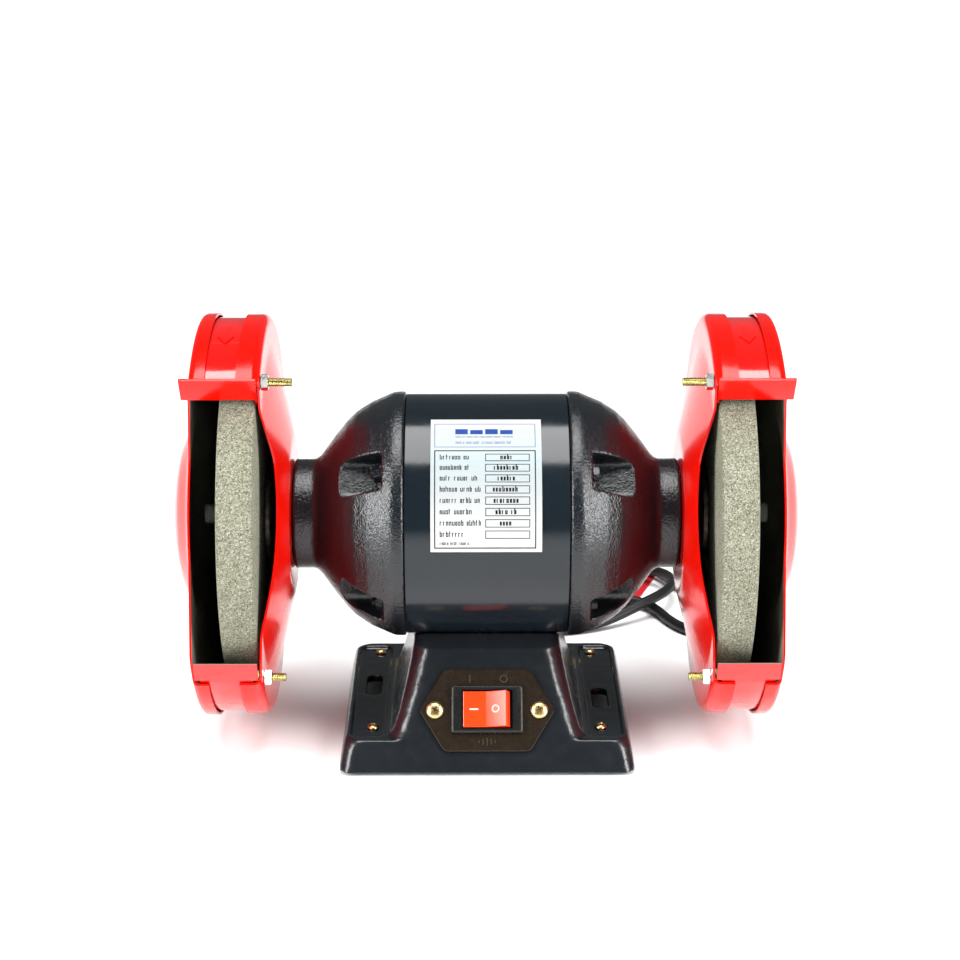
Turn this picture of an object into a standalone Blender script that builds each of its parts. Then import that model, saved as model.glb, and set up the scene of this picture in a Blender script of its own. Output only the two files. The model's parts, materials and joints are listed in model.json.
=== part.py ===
"""Double-ended bench grinder: a motor with a cast base, two guarded grinding wheels and a mains lead.

Lengths are written in millimetres and the helpers turn them into metres. Most pieces are placed from
the shaft's line: s is the distance along it from the motor's middle, r the distance from it, and an
angle is counted from straight forward (-Y) upwards. The floor is z = 0.
"""

import math

import bmesh
import bpy
from mathutils import Matrix, Vector

MM = 0.001
GAP = 0.3  # between pieces that touch on the real object

# Driving dimensions
AXIS_HEIGHT = 132.0  # shaft above the floor
AXIS_BACK = -8.5  # the shaft's line along Y, which puts the middle of the whole grinder over the origin

WHEEL_RADIUS = 100.0
WHEEL_THICK = 20.0
WHEEL_BORE = 16.0
WHEEL_INNER_FACE = 127.5

GUARD_RADIUS = 116.5
GUARD_SHEET = 1.2
GUARD_INNER_FACE = 124.5  # the flat ring of the inner guard, on the motor's side
GUARD_COVER_FACE = 164.4
GUARD_TOP_ANGLE = 55.0  # the front opening's upper and lower ends
GUARD_LOW_ANGLE = -37.5
BAND_RADIUS = 114.6
BAND_LOW, BAND_HIGH = 130.0, 159.8

DRUM_RADIUS = 70.0
DRUM_HALF = 46.4
DRUM_WALL = 2.0
BELL_RADIUS = 71.3
NECK_RADIUS = 32.0
NECK_END = 111.5
SHAFT_END = 164.2
THREAD_RADIUS = 6.0

TIE_CIRCLE = 61.0
TIE_ANGLES = (38.0, 142.0, 218.0, 322.0)
POCKET_FLOOR = 51.0
POCKET_FACE = 59.0
POCKET_HALF = 11.0

GUARD_BOLT_CIRCLE = 108.5
TOP_BOLT_ANGLE = 59.0
LOW_BOLT_ANGLE = -40.0
BOLT_RADIUS = 2.5
HEX_RADIUS = 4.62  # across the corners of an 8 mm hexagon, halved

RIM_HEIGHT = 2.0  # the base's lower edge
TRAY_TOP = 18.0
FOOT_FLOOR = 16.0
FRONT_FOOT = -80.0  # the base's front edge, from the shaft's line
PANEL_SLANT = math.radians(33.0)  # the front face leans back from vertical
FOOT_X = 66.0
FOOT_FRONT, FOOT_REAR = -46.0, 74.0
SLOT_X = 68.0
SLOT_CENTRES = {"left": 20.0, "right": -2.0}

PANEL_HEIGHT = 32.3  # the switch's centre on the front face
SWITCH_SCREW_X = 29.8
ROCKER_TILT = math.radians(10.0)

GLAND_X, GLAND_Z = 20.0, 34.0
GLAND_SEAT = 63.6
BOOT_END = 100.6

CORD_RADIUS = 3.5
CORD_Z = 3.6
COIL_CENTRE = (-45.0, 215.0)
COIL_RADIUS = 40.0  # at the middle of its turns
COIL_HALF = 7.4
COIL_TOP = 14.6

SIDES = {"left": -1, "right": 1}


# Frames and helpers

def metres(values):
    return Vector(values) * MM


def upright(x, y, z):
    """At a point given from the shaft's line in y and from the floor in z."""
    return Matrix.Translation(metres((x, AXIS_BACK + y, z)))


def along_shaft(side):
    """Local +Z runs outwards along the shaft on that side."""
    return upright(0, 0, AXIS_HEIGHT) @ Matrix.Rotation(side * math.pi / 2, 4, "Y")


def side_view():
    """Local X is world Y, local Y is world Z and local Z is world X, from the shaft's line."""
    turn = Matrix(((0, 0, 1, 0), (1, 0, 0, 0), (0, 1, 0, 0), (0, 0, 0, 1)))
    return upright(0, 0, AXIS_HEIGHT) @ turn


def radial(angle):
    """Local X points away from the shaft at this angle, local Y down and forward, local Z along world X."""
    return side_view() @ Matrix.Rotation(math.pi - math.radians(angle), 4, "Z")


def front_edge(z):
    """Where the slanted front face is at this height, from the shaft's line."""
    return FRONT_FOOT + (z - RIM_HEIGHT) * math.tan(PANEL_SLANT)


def panel():
    """On the front face at the switch: local Y runs up the slope and local Z out of it."""
    turn = Matrix.Rotation(math.pi / 2 - PANEL_SLANT, 4, "X")
    return upright(0, front_edge(PANEL_HEIGHT), PANEL_HEIGHT) @ turn


def on_circle(radius, angle):
    """A point in the side view."""
    turn = math.radians(angle)
    return (-radius * math.cos(turn), radius * math.sin(turn))


def arc(radius, first, last, count):
    step = (last - first) / count
    return [on_circle(radius, first + step * i) for i in range(count + 1)]


def round_corners(low, high, radius, per_corner=3):
    """A rectangle's outline from its low to its high corner, with round corners."""
    outline = []
    centres = (
        (high[0] - radius, high[1] - radius),
        (low[0] + radius, high[1] - radius),
        (low[0] + radius, low[1] + radius),
        (high[0] - radius, low[1] + radius),
    )
    for quarter, (x, y) in enumerate(centres):
        for i in range(per_corner + 1):
            turn = math.pi / 2 * (quarter + i / per_corner)
            outline.append((x + radius * math.cos(turn), y + radius * math.sin(turn)))
    return outline


def make_material(name, colour, roughness, metallic=0.0):
    material = bpy.data.materials.new(name)
    material.use_nodes = True
    shader = material.node_tree.nodes["Principled BSDF"]
    shader.inputs["Base Color"].default_value = (*colour, 1.0)
    shader.inputs["Roughness"].default_value = roughness
    shader.inputs["Metallic"].default_value = metallic
    return material


def add_object(name, mesh, frame, material=None):
    """With a material it is a piece of the grinder, and without one it is a cutter."""
    thing = bpy.data.objects.new(name, mesh)
    thing.matrix_world = frame
    if material is None:
        CUTTERS.objects.link(thing)
        thing.hide_render = True
        thing.display_type = "WIRE"
    else:
        PARTS.objects.link(thing)
        thing.data.materials.append(material)
    return thing


def turned(name, outline, frame, material=None, steps=40, sheet=0.0):
    """A profile of (r, s) points turned about local Z. With a sheet thickness it stays open, as a shell."""
    mesh = bpy.data.meshes.new(name)
    points = [metres((r, 0, s)) for r, s in outline]
    edges = [(i, i + 1) for i in range(len(points) - 1)]
    if not sheet:
        edges.append((len(points) - 1, 0))
    mesh.from_pydata(points, edges, [])
    thing = add_object(name, mesh, frame, material)
    screw = thing.modifiers.new("turn", "SCREW")
    screw.steps = steps
    screw.render_steps = steps
    screw.use_merge_vertices = True
    screw.merge_threshold = 0.00001
    if sheet:
        wall = thing.modifiers.new("sheet", "SOLIDIFY")
        wall.thickness = sheet * MM
        wall.offset = -1
        wall.use_even_offset = True
    return thing


def slab(name, outline, low, high, frame, material=None):
    """A flat outline in local XY, extruded along local Z from low to high."""
    curve = bpy.data.curves.new(name, "CURVE")
    curve.dimensions = "2D"
    curve.fill_mode = "BOTH"
    curve.extrude = (high - low) / 2 * MM
    line = curve.splines.new("POLY")
    line.points.add(len(outline) - 1)
    for point, (x, y) in zip(line.points, outline):
        point.co = (x * MM, y * MM, 0, 1)
    line.use_cyclic_u = True
    middle = Matrix.Translation((0, 0, (low + high) / 2 * MM))
    return add_object(name, mesh_of_curve(curve), frame @ middle, material)


def mesh_of_curve(curve):
    """The curve's surface as a mesh with its caps welded on."""
    helper = bpy.data.objects.new("curve_helper", curve)
    bpy.context.scene.collection.objects.link(helper)
    graph = bpy.context.evaluated_depsgraph_get()
    mesh = bpy.data.meshes.new_from_object(helper.evaluated_get(graph))
    bpy.data.objects.remove(helper)
    work = bmesh.new()
    work.from_mesh(mesh)
    bmesh.ops.remove_doubles(work, verts=work.verts, dist=0.000001)
    bmesh.ops.recalc_face_normals(work, faces=work.faces)
    work.to_mesh(mesh)
    work.free()
    return mesh


def loft(name, sections, frame, material=None):
    """Level outlines of equal point counts, lowest first, joined side to side and capped."""
    work = bmesh.new()
    rings = []
    for z, outline in sections:
        rings.append([work.verts.new(metres((x, y, z))) for x, y in outline])
    for lower, upper in zip(rings, rings[1:]):
        for i in range(len(lower)):
            j = (i + 1) % len(lower)
            work.faces.new((lower[i], lower[j], upper[j], upper[i]))
    work.faces.new(reversed(rings[0]))
    work.faces.new(rings[-1])
    mesh = bpy.data.meshes.new(name)
    work.to_mesh(mesh)
    work.free()
    return add_object(name, mesh, frame, material)


def prism(name, sides, radius, low, high, frame, material=None):
    """A cylinder, or a hexagon with six sides, along local Z."""
    mesh = bpy.data.meshes.new(name)
    work = bmesh.new()
    centre = Matrix.Translation((0, 0, (low + high) / 2 * MM))
    bmesh.ops.create_cone(
        work,
        cap_ends=True,
        segments=sides,
        radius1=radius * MM,
        radius2=radius * MM,
        depth=(high - low) * MM,
        matrix=centre,
    )
    work.to_mesh(mesh)
    work.free()
    return add_object(name, mesh, frame, material)


def combine(target, operation, others):
    for other in others:
        step = target.modifiers.new(other.name, "BOOLEAN")
        step.operation = operation
        step.object = other
    return target


def cut(target, *cutters):
    return combine(target, "DIFFERENCE", cutters)


def join(target, *others):
    return combine(target, "UNION", others)


def smooth(thing, angle=35.0):
    thing.data.shade_smooth()
    thing.data.set_sharp_from_angle(angle=math.radians(angle))


# Base

def level_outline(z, half, back, corner):
    return z, round_corners((-half, front_edge(z)), (half, back), corner)


def build_base(paint):
    ground = upright(0, 0, 0)
    tray = [
        level_outline(RIM_HEIGHT, 84.5, 92, 7),
        level_outline(14, 82.3, 89, 8),
        level_outline(16.5, 81.6, 88, 9),
        level_outline(TRAY_TOP, 80.4, 86.5, 9),
    ]
    casting = loft("base_casting", tray, ground, paint)
    stem_root = (12, round_corners((-57, -68), (57, 65), 12))
    stem = [
        stem_root,
        level_outline(18.2, 56, 64, 9),
        level_outline(22, 53.5, 62.5, 9),
        level_outline(30, 50.6, 60, 9),
        level_outline(42, 47.2, 56, 10),
        level_outline(54, 44.4, 51.5, 11),
        level_outline(63, 42.6, 47.5, 12),
        (69, round_corners((-41.6, -33.5), (41.6, 42), 12)),
        (74, round_corners((-41, -24), (41, 34), 12)),
    ]
    join(casting, loft("stem_outer", stem, ground))
    hollow = [
        (1, round_corners((-80, -74.5), (80, 87), 5)),
        (12, round_corners((-78.5, -68), (78.5, 84), 5)),
    ]
    chamber = [
        (11, round_corners((-51, -66), (51, 58.5), 8)),
        (22, round_corners((-47.5, -60.5), (47.5, 56.5), 8)),
        (42, round_corners((-41.5, -47.5), (41.5, 50), 8)),
        (56, round_corners((-38.5, -38.4), (38.5, 44.5), 8)),
    ]
    cut(
        casting,
        prism("saddle", 48, DRUM_RADIUS + GAP, -60, 60, along_shaft(1)),
        loft("tray_hollow", hollow, ground),
        loft("stem_hollow", chamber, ground),
    )
    for name, side in SIDES.items():
        edges = sorted((side * 58.5, side * 78.5))
        recess = round_corners((edges[0], -63), (edges[1], 81), 5)
        x = side * SLOT_X
        y = SLOT_CENTRES[name]
        slot = round_corners((x - 4.5, y - 15), (x + 4.5, y + 15), 4.4)
        cut(
            casting,
            slab(f"foot_recess_{name}", recess, FOOT_FLOOR, TRAY_TOP + 2, ground),
            slab(f"bench_slot_{name}", slot, 5, 20, ground),
        )
        for y in (FOOT_FRONT, FOOT_REAR):
            hole = prism(f"foot_hole_{name}_{y:.0f}", 12, 2.8, 5, 20, upright(side * FOOT_X, y, 0))
            cut(casting, hole)
        screw_place = panel() @ Matrix.Translation(metres((side * SWITCH_SCREW_X, 0, 0)))
        cut(casting, prism(f"switch_screw_hole_{name}", 12, 2.2, -12, 4, screw_place))
    opening = round_corners((-17.3, -13.3), (17.3, 13.3), 1)
    gland_way = upright(GLAND_X, 0, GLAND_Z) @ Matrix.Rotation(-math.pi / 2, 4, "X")
    cut(
        casting,
        slab("switch_opening", opening, -12, 3, panel()),
        prism("gland_hole", 24, 6.8, 45, 75, gland_way),
        prism("wire_hole_base", 24, 8.0, 50, 70, upright(-15, 8, 0)),
    )
    return casting


def build_base_plate(steel):
    outline = round_corners((-55.5, -66), (55.5, 64.5), 6)
    slab("base_plate", outline, 10.5, 12 - GAP, upright(0, 0, 0), steel)


def build_feet(rubber, zinc):
    top = 12 - GAP
    foot = [(0, 5), (2.6, 5), (2.6, top), (9.2, top), (8.6, 1.2), (7.8, 0), (0, 0)]
    low = FOOT_FLOOR + GAP
    screw = [(0, low + 2.2), (2.2, low + 2.1), (3.6, low + 1.2), (4.0, low), (2.2, low), (2.2, 6), (0, 6)]
    for name, side in SIDES.items():
        for place, y in (("front", FOOT_FRONT), ("rear", FOOT_REAR)):
            spot = upright(side * FOOT_X, y, 0)
            smooth(turned(f"rubber_foot_{place}_{name}", foot, spot, rubber, 14))
            smooth(turned(f"foot_screw_{place}_{name}", screw, spot, zinc, 12))


# Switch

def build_switch(plate_black, switch_black, brass, rocker_red):
    place = panel()
    back, front = GAP, 2.5
    hexagon = [(38.8, 0), (24.5, 23.7), (-24.5, 23.7), (-38.8, 0), (-24.5, -23.7), (24.5, -23.7)]
    plate = slab("switch_plate", hexagon, back, front, place, plate_black)
    window = round_corners((-16.8, -12.8), (16.8, 12.8), 0.5, 1)
    cut(plate, slab("plate_window", window, back - 1, front + 1, place))
    screw = [(0, 4.9), (3.4, 4.6), (5.1, 3.4), (5.1, front + GAP), (1.8, front + GAP), (1.8, -9), (0, -9)]
    for name, side in SIDES.items():
        spot = place @ Matrix.Translation(metres((side * SWITCH_SCREW_X, 0, 0)))
        cut(plate, prism(f"plate_hole_{name}", 12, 2.2, back - 1, front + 1, spot))
        smooth(turned(f"switch_screw_{name}", screw, spot, brass, 14))
    seat = front + GAP
    bezel = round_corners((-20.3, -13.5), (20.3, 13.5), 1, 1)
    body = slab("switch_body", bezel, seat, seat + 2.4, place, switch_black)
    box = round_corners((-16.5, -12.5), (16.5, 12.5), 1, 1)
    join(body, slab("switch_box", box, -17, seat + 1, place))
    mouth = round_corners((-14.5, -11.1), (14.5, 11.1), 0.5, 1)
    cut(body, slab("switch_mouth", mouth, -6.5, seat + 4, place))
    # The rocker's outline is drawn level, with its pivot at (0, 0), and stands pressed down on its left.
    rocker = [(0, 5), (12.6, 7.2), (13.6, 2), (9, -3.5), (-9, -3.5), (-13.6, 2), (-12.6, 7.2)]
    pivot = place @ Matrix.Translation(metres((0, 0, seat - 2.6))) @ Matrix.Rotation(math.pi / 2, 4, "X")
    slab("switch_rocker", rocker, -10.6, 10.6, pivot @ Matrix.Rotation(ROCKER_TILT, 4, "Z"), rocker_red)


# Motor

def build_drum(paint):
    inner = DRUM_RADIUS - DRUM_WALL
    ring = [(DRUM_RADIUS, DRUM_HALF), (DRUM_RADIUS, -DRUM_HALF), (inner, -DRUM_HALF), (inner, DRUM_HALF)]
    drum = turned("motor_drum", ring, along_shaft(1), paint, 48)
    cut(drum, prism("wire_hole_drum", 24, 8.0, 50, 75, upright(-15, 8, 0)))
    smooth(drum)


def build_stator(iron, copper):
    outer = DRUM_RADIUS - DRUM_WALL - GAP
    ring = [(outer, 24), (outer, -24), (36.3, -24), (36.3, 24)]
    core = turned("stator_core", ring, along_shaft(1), iron)
    for angle in TIE_ANGLES:
        spot = radial(angle) @ Matrix.Translation(metres((TIE_CIRCLE, 0, 0)))
        cut(core, prism(f"core_hole_{angle:.0f}", 10, 3.1, -30, 30, spot))
    coil = [(53, 41), (56.5, 38), (57, 24.3), (38, 24.3), (38.5, 38), (42, 41)]
    for name, side in SIDES.items():
        smooth(turned(f"winding_{name}", coil, along_shaft(side), copper, 20), 60)


def build_bell(name, side, paint):
    outside = [
        (10, NECK_END),
        (30.5, NECK_END),
        (NECK_RADIUS, NECK_END - 1.5),
        (NECK_RADIUS, 98.5),
        (36.3, 95),
        (45.7, 88),
        (55, 80.5),
        (59.9, 75.3),
        (65.2, 67),
        (70.2, 55.6),
        (BELL_RADIUS, 55.2),
        (BELL_RADIUS, DRUM_HALF + GAP),
        (10, DRUM_HALF + GAP),
    ]
    bell = turned(f"end_bell_{name}", outside, along_shaft(side), paint)
    inside = [(0, 104.3), (20.1, 104.3), (20.1, 92), (30, 92), (48, 81), (62, 60), (65, 40), (0, 40)]
    hollow = turned(f"bell_hollow_{name}", inside, along_shaft(side), steps=28)
    cut(bell, hollow)
    for angle in TIE_ANGLES:
        near, far = sorted((side * POCKET_FACE, side * 100))
        frame = radial(angle)
        boss = round_corners((46, -15), (90, 15), 2, 1)
        boss_ends = sorted((side * 54, side * 110))
        cut(hollow, slab(f"boss_{name}_{angle:.0f}", boss, *boss_ends, frame))
        pocket = round_corners((POCKET_FLOOR, -POCKET_HALF), (90, POCKET_HALF), 3, 1)
        hole_ends = sorted((side * 40, side * 70))
        spot = frame @ Matrix.Translation(metres((TIE_CIRCLE, 0, 0)))
        cut(
            bell,
            slab(f"pocket_{name}_{angle:.0f}", pocket, near, far, frame),
            prism(f"tie_hole_{name}_{angle:.0f}", 10, 2.9, *hole_ends, spot),
        )
    smooth(bell)


def build_tie_bolts(paint):
    head = POCKET_FACE + GAP
    for number, angle in enumerate(TIE_ANGLES, 1):
        spot = radial(angle) @ Matrix.Translation(metres((TIE_CIRCLE, 0, 0)))
        bolt = prism(f"tie_bolt_{number}", 10, BOLT_RADIUS, -head - 6, head + 1, spot, paint)
        join(
            bolt,
            prism(f"tie_head_{number}", 6, HEX_RADIUS, head, head + 3.5, spot),
            prism(f"tie_nut_{number}", 6, HEX_RADIUS, -head - 4, -head, spot),
        )


def build_data_plate(label):
    inner = DRUM_RADIUS + GAP
    outline = arc(inner + 0.5, -0.4, 65.6, 12) + arc(inner, 65.6, -0.4, 12)
    smooth(slab("data_plate", outline, -31.6, 30.4, side_view(), label))


def build_capacitor(case):
    lying = upright(0, 26, 31) @ Matrix.Rotation(math.pi / 2, 4, "Y")
    outline = [(0, 25), (12.6, 25), (13.5, 24), (13.5, -25), (0, -25)]
    smooth(turned("run_capacitor", outline, lying, case, 20))


def build_bearings(steel):
    ring = [(19.2, 103.9), (19.8, 103.3), (19.8, 92.9), (19.2, 92.3), (9.1, 92.3), (9.1, 103.9)]
    for name, side in SIDES.items():
        smooth(turned(f"bearing_{name}", ring, along_shaft(side), steel, 20))


# Rotor

def build_rotor(steel, iron, grit, flange_steel, zinc):
    half = [
        (5.2, SHAFT_END),
        (THREAD_RADIUS, SHAFT_END - 1),
        (THREAD_RADIUS, 114),
        (8, 114),
        (8.6, 106),
        (8.6, 86),
        (12, 78),
    ]
    profile = [(0, SHAFT_END)] + half + [(r, -s) for r, s in reversed(half[:-1])] + [(0, -SHAFT_END)]
    smooth(turned("shaft", profile, along_shaft(1), steel, 18))
    core = [(35.6, 25), (35.6, -25), (12.4, -25), (12.4, 25)]
    smooth(turned("rotor_core", core, along_shaft(1), iron, 24))
    near, far = WHEEL_INNER_FACE, WHEEL_INNER_FACE + WHEEL_THICK
    bore = THREAD_RADIUS + GAP
    wheel = [
        (WHEEL_RADIUS - 0.8, far),
        (WHEEL_RADIUS, far - 0.8),
        (WHEEL_RADIUS, near + 0.8),
        (WHEEL_RADIUS - 0.8, near),
        (WHEEL_BORE, near),
        (WHEEL_BORE, far),
    ]
    spigot = WHEEL_BORE - GAP
    inner = [
        (spigot, far - 1.5),
        (spigot, near - GAP),
        (29.5, near - GAP),
        (30, near - 0.8),
        (30, near - 3.2),
        (28, near - 4),
        (14.5, near - 4.6),
        (14.5, 114.3),
        (bore, 114.3),
        (bore, far - 1.5),
    ]
    outer = [(18, far + 3.4), (29, far + 2.6), (30, far + 1.6), (30, far + GAP), (bore, far + GAP), (bore, far + 3.4)]
    nut_low = far + 3.4 + GAP
    for name, side in SIDES.items():
        line = along_shaft(side)
        smooth(turned(f"grinding_wheel_{name}", wheel, line, grit, 48))
        smooth(turned(f"inner_flange_{name}", inner, line, flange_steel, 18))
        smooth(turned(f"outer_flange_{name}", outer, line, flange_steel, 18))
        nut = prism(f"wheel_nut_{name}", 6, 10.4, nut_low, nut_low + 6.2, line, zinc)
        cut(nut, prism(f"nut_bore_{name}", 24, bore, nut_low - 1, nut_low + 8, line))


# Guards

def guard_mouth(name, side, top_notch):
    """What is missing from the guard's sides and rims at the front."""
    outline = [
        on_circle(145, GUARD_TOP_ANGLE),
        on_circle(top_notch, GUARD_TOP_ANGLE),
        (-52, 48),
        (-71, -12.5),
        on_circle(112.3, -31),
        on_circle(112.8, GUARD_LOW_ANGLE),
        on_circle(145, GUARD_LOW_ANGLE),
        (-210, 0),
    ]
    low, high = sorted((side * 105, side * 190))
    return slab(name, outline, low, high, side_view())


def build_guard(name, side, paint, zinc, steel):
    line = along_shaft(side)
    dish = [
        (GUARD_RADIUS, 137.6),
        (GUARD_RADIUS, 130),
        (114.8, 126.2),
        (111, GUARD_INNER_FACE),
        (98, GUARD_INNER_FACE),
        (46, NECK_END + GAP),
        (13, NECK_END + GAP),
    ]
    inner = turned(f"guard_inner_{name}", dish, line, paint, sheet=GUARD_SHEET)
    cut(inner, guard_mouth(f"inner_mouth_{name}", side, 112))
    edge = GUARD_RADIUS + 0.5
    lid = [
        (0, 180.4),
        (26, 179.4),
        (41, 175.8),
        (57, 168.2),
        (66, 166.6),
        (110, GUARD_COVER_FACE),
        (115.2, 163.2),
        (edge, 160.6),
        (edge, 154.6),
    ]
    cover = turned(f"guard_cover_{name}", lid, line, paint, sheet=GUARD_SHEET)
    cut(cover, guard_mouth(f"cover_mouth_{name}", side, 99.5))
    smooth(inner)
    smooth(cover)

    low_end = 360 + GUARD_LOW_ANGLE + 1
    strip = arc(BAND_RADIUS, GUARD_TOP_ANGLE, low_end, 40)
    strip += arc(BAND_RADIUS - GUARD_SHEET, low_end, GUARD_TOP_ANGLE, 40)
    ends = sorted((side * BAND_LOW, side * BAND_HIGH))
    band = slab(f"guard_band_{name}", strip, *ends, side_view(), paint)
    root_y, root_z = on_circle(BAND_RADIUS, low_end)
    lip = [(root_y, root_z), (root_y + 1.6, root_z), (-94.8, -57.2), (-96.1, -57.2)]
    lip_ends = sorted((side * 127.2, side * 162.4))
    join(band, slab(f"lip_{name}", lip, *lip_ends, side_view()))
    smooth(band)

    for place, angle, head, tip in (
        ("top", TOP_BOLT_ANGLE, 127.6, 107.2),
        ("low", LOW_BOLT_ANGLE, 127.1, 112.4),
    ):
        spot = radial(angle) @ Matrix.Translation(metres((GUARD_BOLT_CIRCLE, 0, 0)))
        cut(inner, prism(f"bolt_hole_{place}_{name}", 12, BOLT_RADIUS + GAP, *sorted((side * 118, side * 132)), spot))
        shank = sorted((side * (head + 1), side * tip))
        bolt = prism(f"guard_bolt_{place}_{name}", 10, BOLT_RADIUS, *shank, spot, zinc)
        join(bolt, prism(f"bolt_head_{place}_{name}", 6, HEX_RADIUS, *sorted((side * head, side * (head + 2.8))), spot))
        reach = sorted((side * (GUARD_INNER_FACE - GAP), side * (GUARD_INNER_FACE - GAP - 4)))
        nut = prism(f"guard_nut_{place}_{name}", 6, HEX_RADIUS, *reach, spot, steel)
        bore = sorted((side * 118, side * 126))
        cut(nut, prism(f"guard_nut_bore_{place}_{name}", 12, BOLT_RADIUS + GAP, *bore, spot))


def build_spark_arrestor(name, side, inset, paint):
    """A radial plate over the wheel, with a forked tab clamped by the top guard bolt."""
    frame = radial(GUARD_TOP_ANGLE) @ Matrix.Translation(metres((-inset, 0, 0)))
    plate = [(104.4, GAP), (120.4, GAP), (120.4, 2.1), (104.4, 2.1)]
    ends = sorted((side * 126.2, side * 168))
    arrestor = slab(f"spark_arrestor_{name}", plate, *ends, frame, paint)
    turn = math.radians(TOP_BOLT_ANGLE - GUARD_TOP_ANGLE)
    bolt_r = GUARD_BOLT_CIRCLE * math.cos(turn)
    bolt_t = -GUARD_BOLT_CIRCLE * math.sin(turn)
    slot = BOLT_RADIUS + GAP
    foot = bolt_r - slot - 0.4
    tab = [
        (101.2, 1.5),
        (101.2, -15),
        (110.6, -15),
        (110.6, bolt_t - slot),
        (foot, bolt_t - slot),
        (foot, bolt_t + slot),
        (110.6, bolt_t + slot),
        (110.6, 1.5),
    ]
    join(arrestor, slab(f"arrestor_tab_{name}", tab, *sorted((side * 126.1, side * 127.3)), frame))


# Mains lead

ROUTE = [
    (20, 101.1, 34.0),
    (20, 108, 34.0),
    (20, 117, 33.2),
    (21.5, 130, 27.0),
    (28, 142, 14.0),
    (40, 147, 5.0),
    (57, 149, CORD_Z),
    (75, 156, 4.4),
    (92, 166, 7.6),
    (108, 177, 12.2),
    (123, 191, 14.0),
    (132, 212, 13.6),
    (130, 237, 12.5),
    (114, 256.5, 9.0),
    (90, 265, 4.6),
    (65, 258, CORD_Z),
    (55, 234, 4.0),
    (67, 211, 5.6),
    (93, 205, 6.2),
    (115, 196, 4.4),
    (122, 171, CORD_Z),
    (134, 145, CORD_Z),
    (160, 131, CORD_Z),
    (187, 141, CORD_Z),
    (194, 171, CORD_Z),
    (178, 198, CORD_Z),
    (150, 214, CORD_Z),
    (134, 240, 5.0),
    (120, 271.5, 6.0),
    (93, 289, 4.6),
    (60, 288, CORD_Z),
    (28, 272, CORD_Z),
    (2, 260.8, CORD_Z),
    (-18.6, 259.4, CORD_Z),
]


def smooth_route(points, spacing):
    """Points read off a cubic B-spline that the route guides, about one spacing apart."""
    line = [Vector(p) for p in points]
    line = [2 * line[0] - line[1]] + line + [2 * line[-1] - line[-2]]
    path = []
    for a, b, c, d in zip(line, line[1:], line[2:], line[3:]):
        count = max(1, round((c - b).length / spacing))
        for i in range(count):
            t = i / count
            near = (1 - t) ** 3 * a + (3 * t**3 - 6 * t**2 + 4) * b
            far = (3 * t**2 + 3 * t - 3 * t**3 + 1) * c + t**3 * d
            path.append((near + far) / 6)
    path.append(line[-2])
    return path


def build_cord(black, red, pin_metal):
    curve = bpy.data.curves.new("mains_cord", "CURVE")
    curve.dimensions = "3D"
    curve.bevel_depth = CORD_RADIUS * MM
    curve.bevel_resolution = 2
    curve.use_fill_caps = True
    path = smooth_route(ROUTE, 11)
    line = curve.splines.new("POLY")
    line.points.add(len(path) - 1)
    for point, place in zip(line.points, path):
        point.co = (*metres(place), 1)
    cord = bpy.data.objects.new("mains_cord", curve)
    cord.matrix_world = upright(0, 0, 0)
    PARTS.objects.link(cord)
    curve.materials.append(black)

    low, high = COIL_RADIUS - COIL_HALF, COIL_RADIUS + COIL_HALF
    ring = [(high, COIL_TOP), (high, 0.1), (low, 0.1), (low, COIL_TOP)]
    smooth(turned("cord_coil", ring, upright(*COIL_CENTRE, 0), black, 40))

    # The last turn leaves forwards and to the right, and the plug lies tilted on its rim.
    away = upright(COIL_CENTRE[0] + 28.6, COIL_CENTRE[1] - COIL_RADIUS - 3.9, 6.3)
    lie = away @ Matrix.Rotation(math.radians(74), 4, "Y")
    body = [(0, 62), (16.5, 62), (18, 60.5), (18, 46), (15, 30), (6.6, 25), (4.4, 0), (0, 0)]
    plug = turned("plug", body, lie, black, 24)
    for number, y in enumerate((-9.5, 9.5)):
        join(plug, prism(f"plug_pin_{number}", 12, 2.4, 60, 81, lie @ Matrix.Translation(metres((0, y, 0)))))
    smooth(plug)

    strap = [(-4, 0.1), (71, 0.1), (77.5, 1.8), (80.8, 5.4), (77.5, 9.6), (71, 10.6), (63, 10.8)]
    under = [(63, 9.7), (70.8, 9.5), (76.4, 8.5), (79.6, 5.4), (76.4, 2.7), (70.8, 1.2), (-4, 1.2)]
    lie = upright(98, 200, 0) @ Matrix.Rotation(math.radians(72), 4, "Z") @ Matrix.Rotation(math.pi / 2, 4, "X")
    slab("cord_tie", strap + under, -4, 4, lie, red)


def build_gland(black):
    boot = [
        (0, BOOT_END),
        (4.6, BOOT_END),
        (7.2, GLAND_SEAT + 3),
        (9.5, GLAND_SEAT + 3),
        (9.5, GLAND_SEAT),
        (6.5, GLAND_SEAT),
        (6.5, 50),
        (0, 50),
    ]
    away = upright(GLAND_X, 0, GLAND_Z) @ Matrix.Rotation(-math.pi / 2, 4, "X")
    smooth(turned("cable_gland", boot, away, black, 20))


def clear_scene():
    for thing in list(bpy.data.objects):
        bpy.data.objects.remove(thing)


def new_collection(name):
    made = bpy.data.collections.new(name)
    bpy.context.scene.collection.children.link(made)
    return made


clear_scene()
PARTS = new_collection("bench_grinder")
CUTTERS = new_collection("cutters")
CUTTERS.hide_render = True

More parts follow.
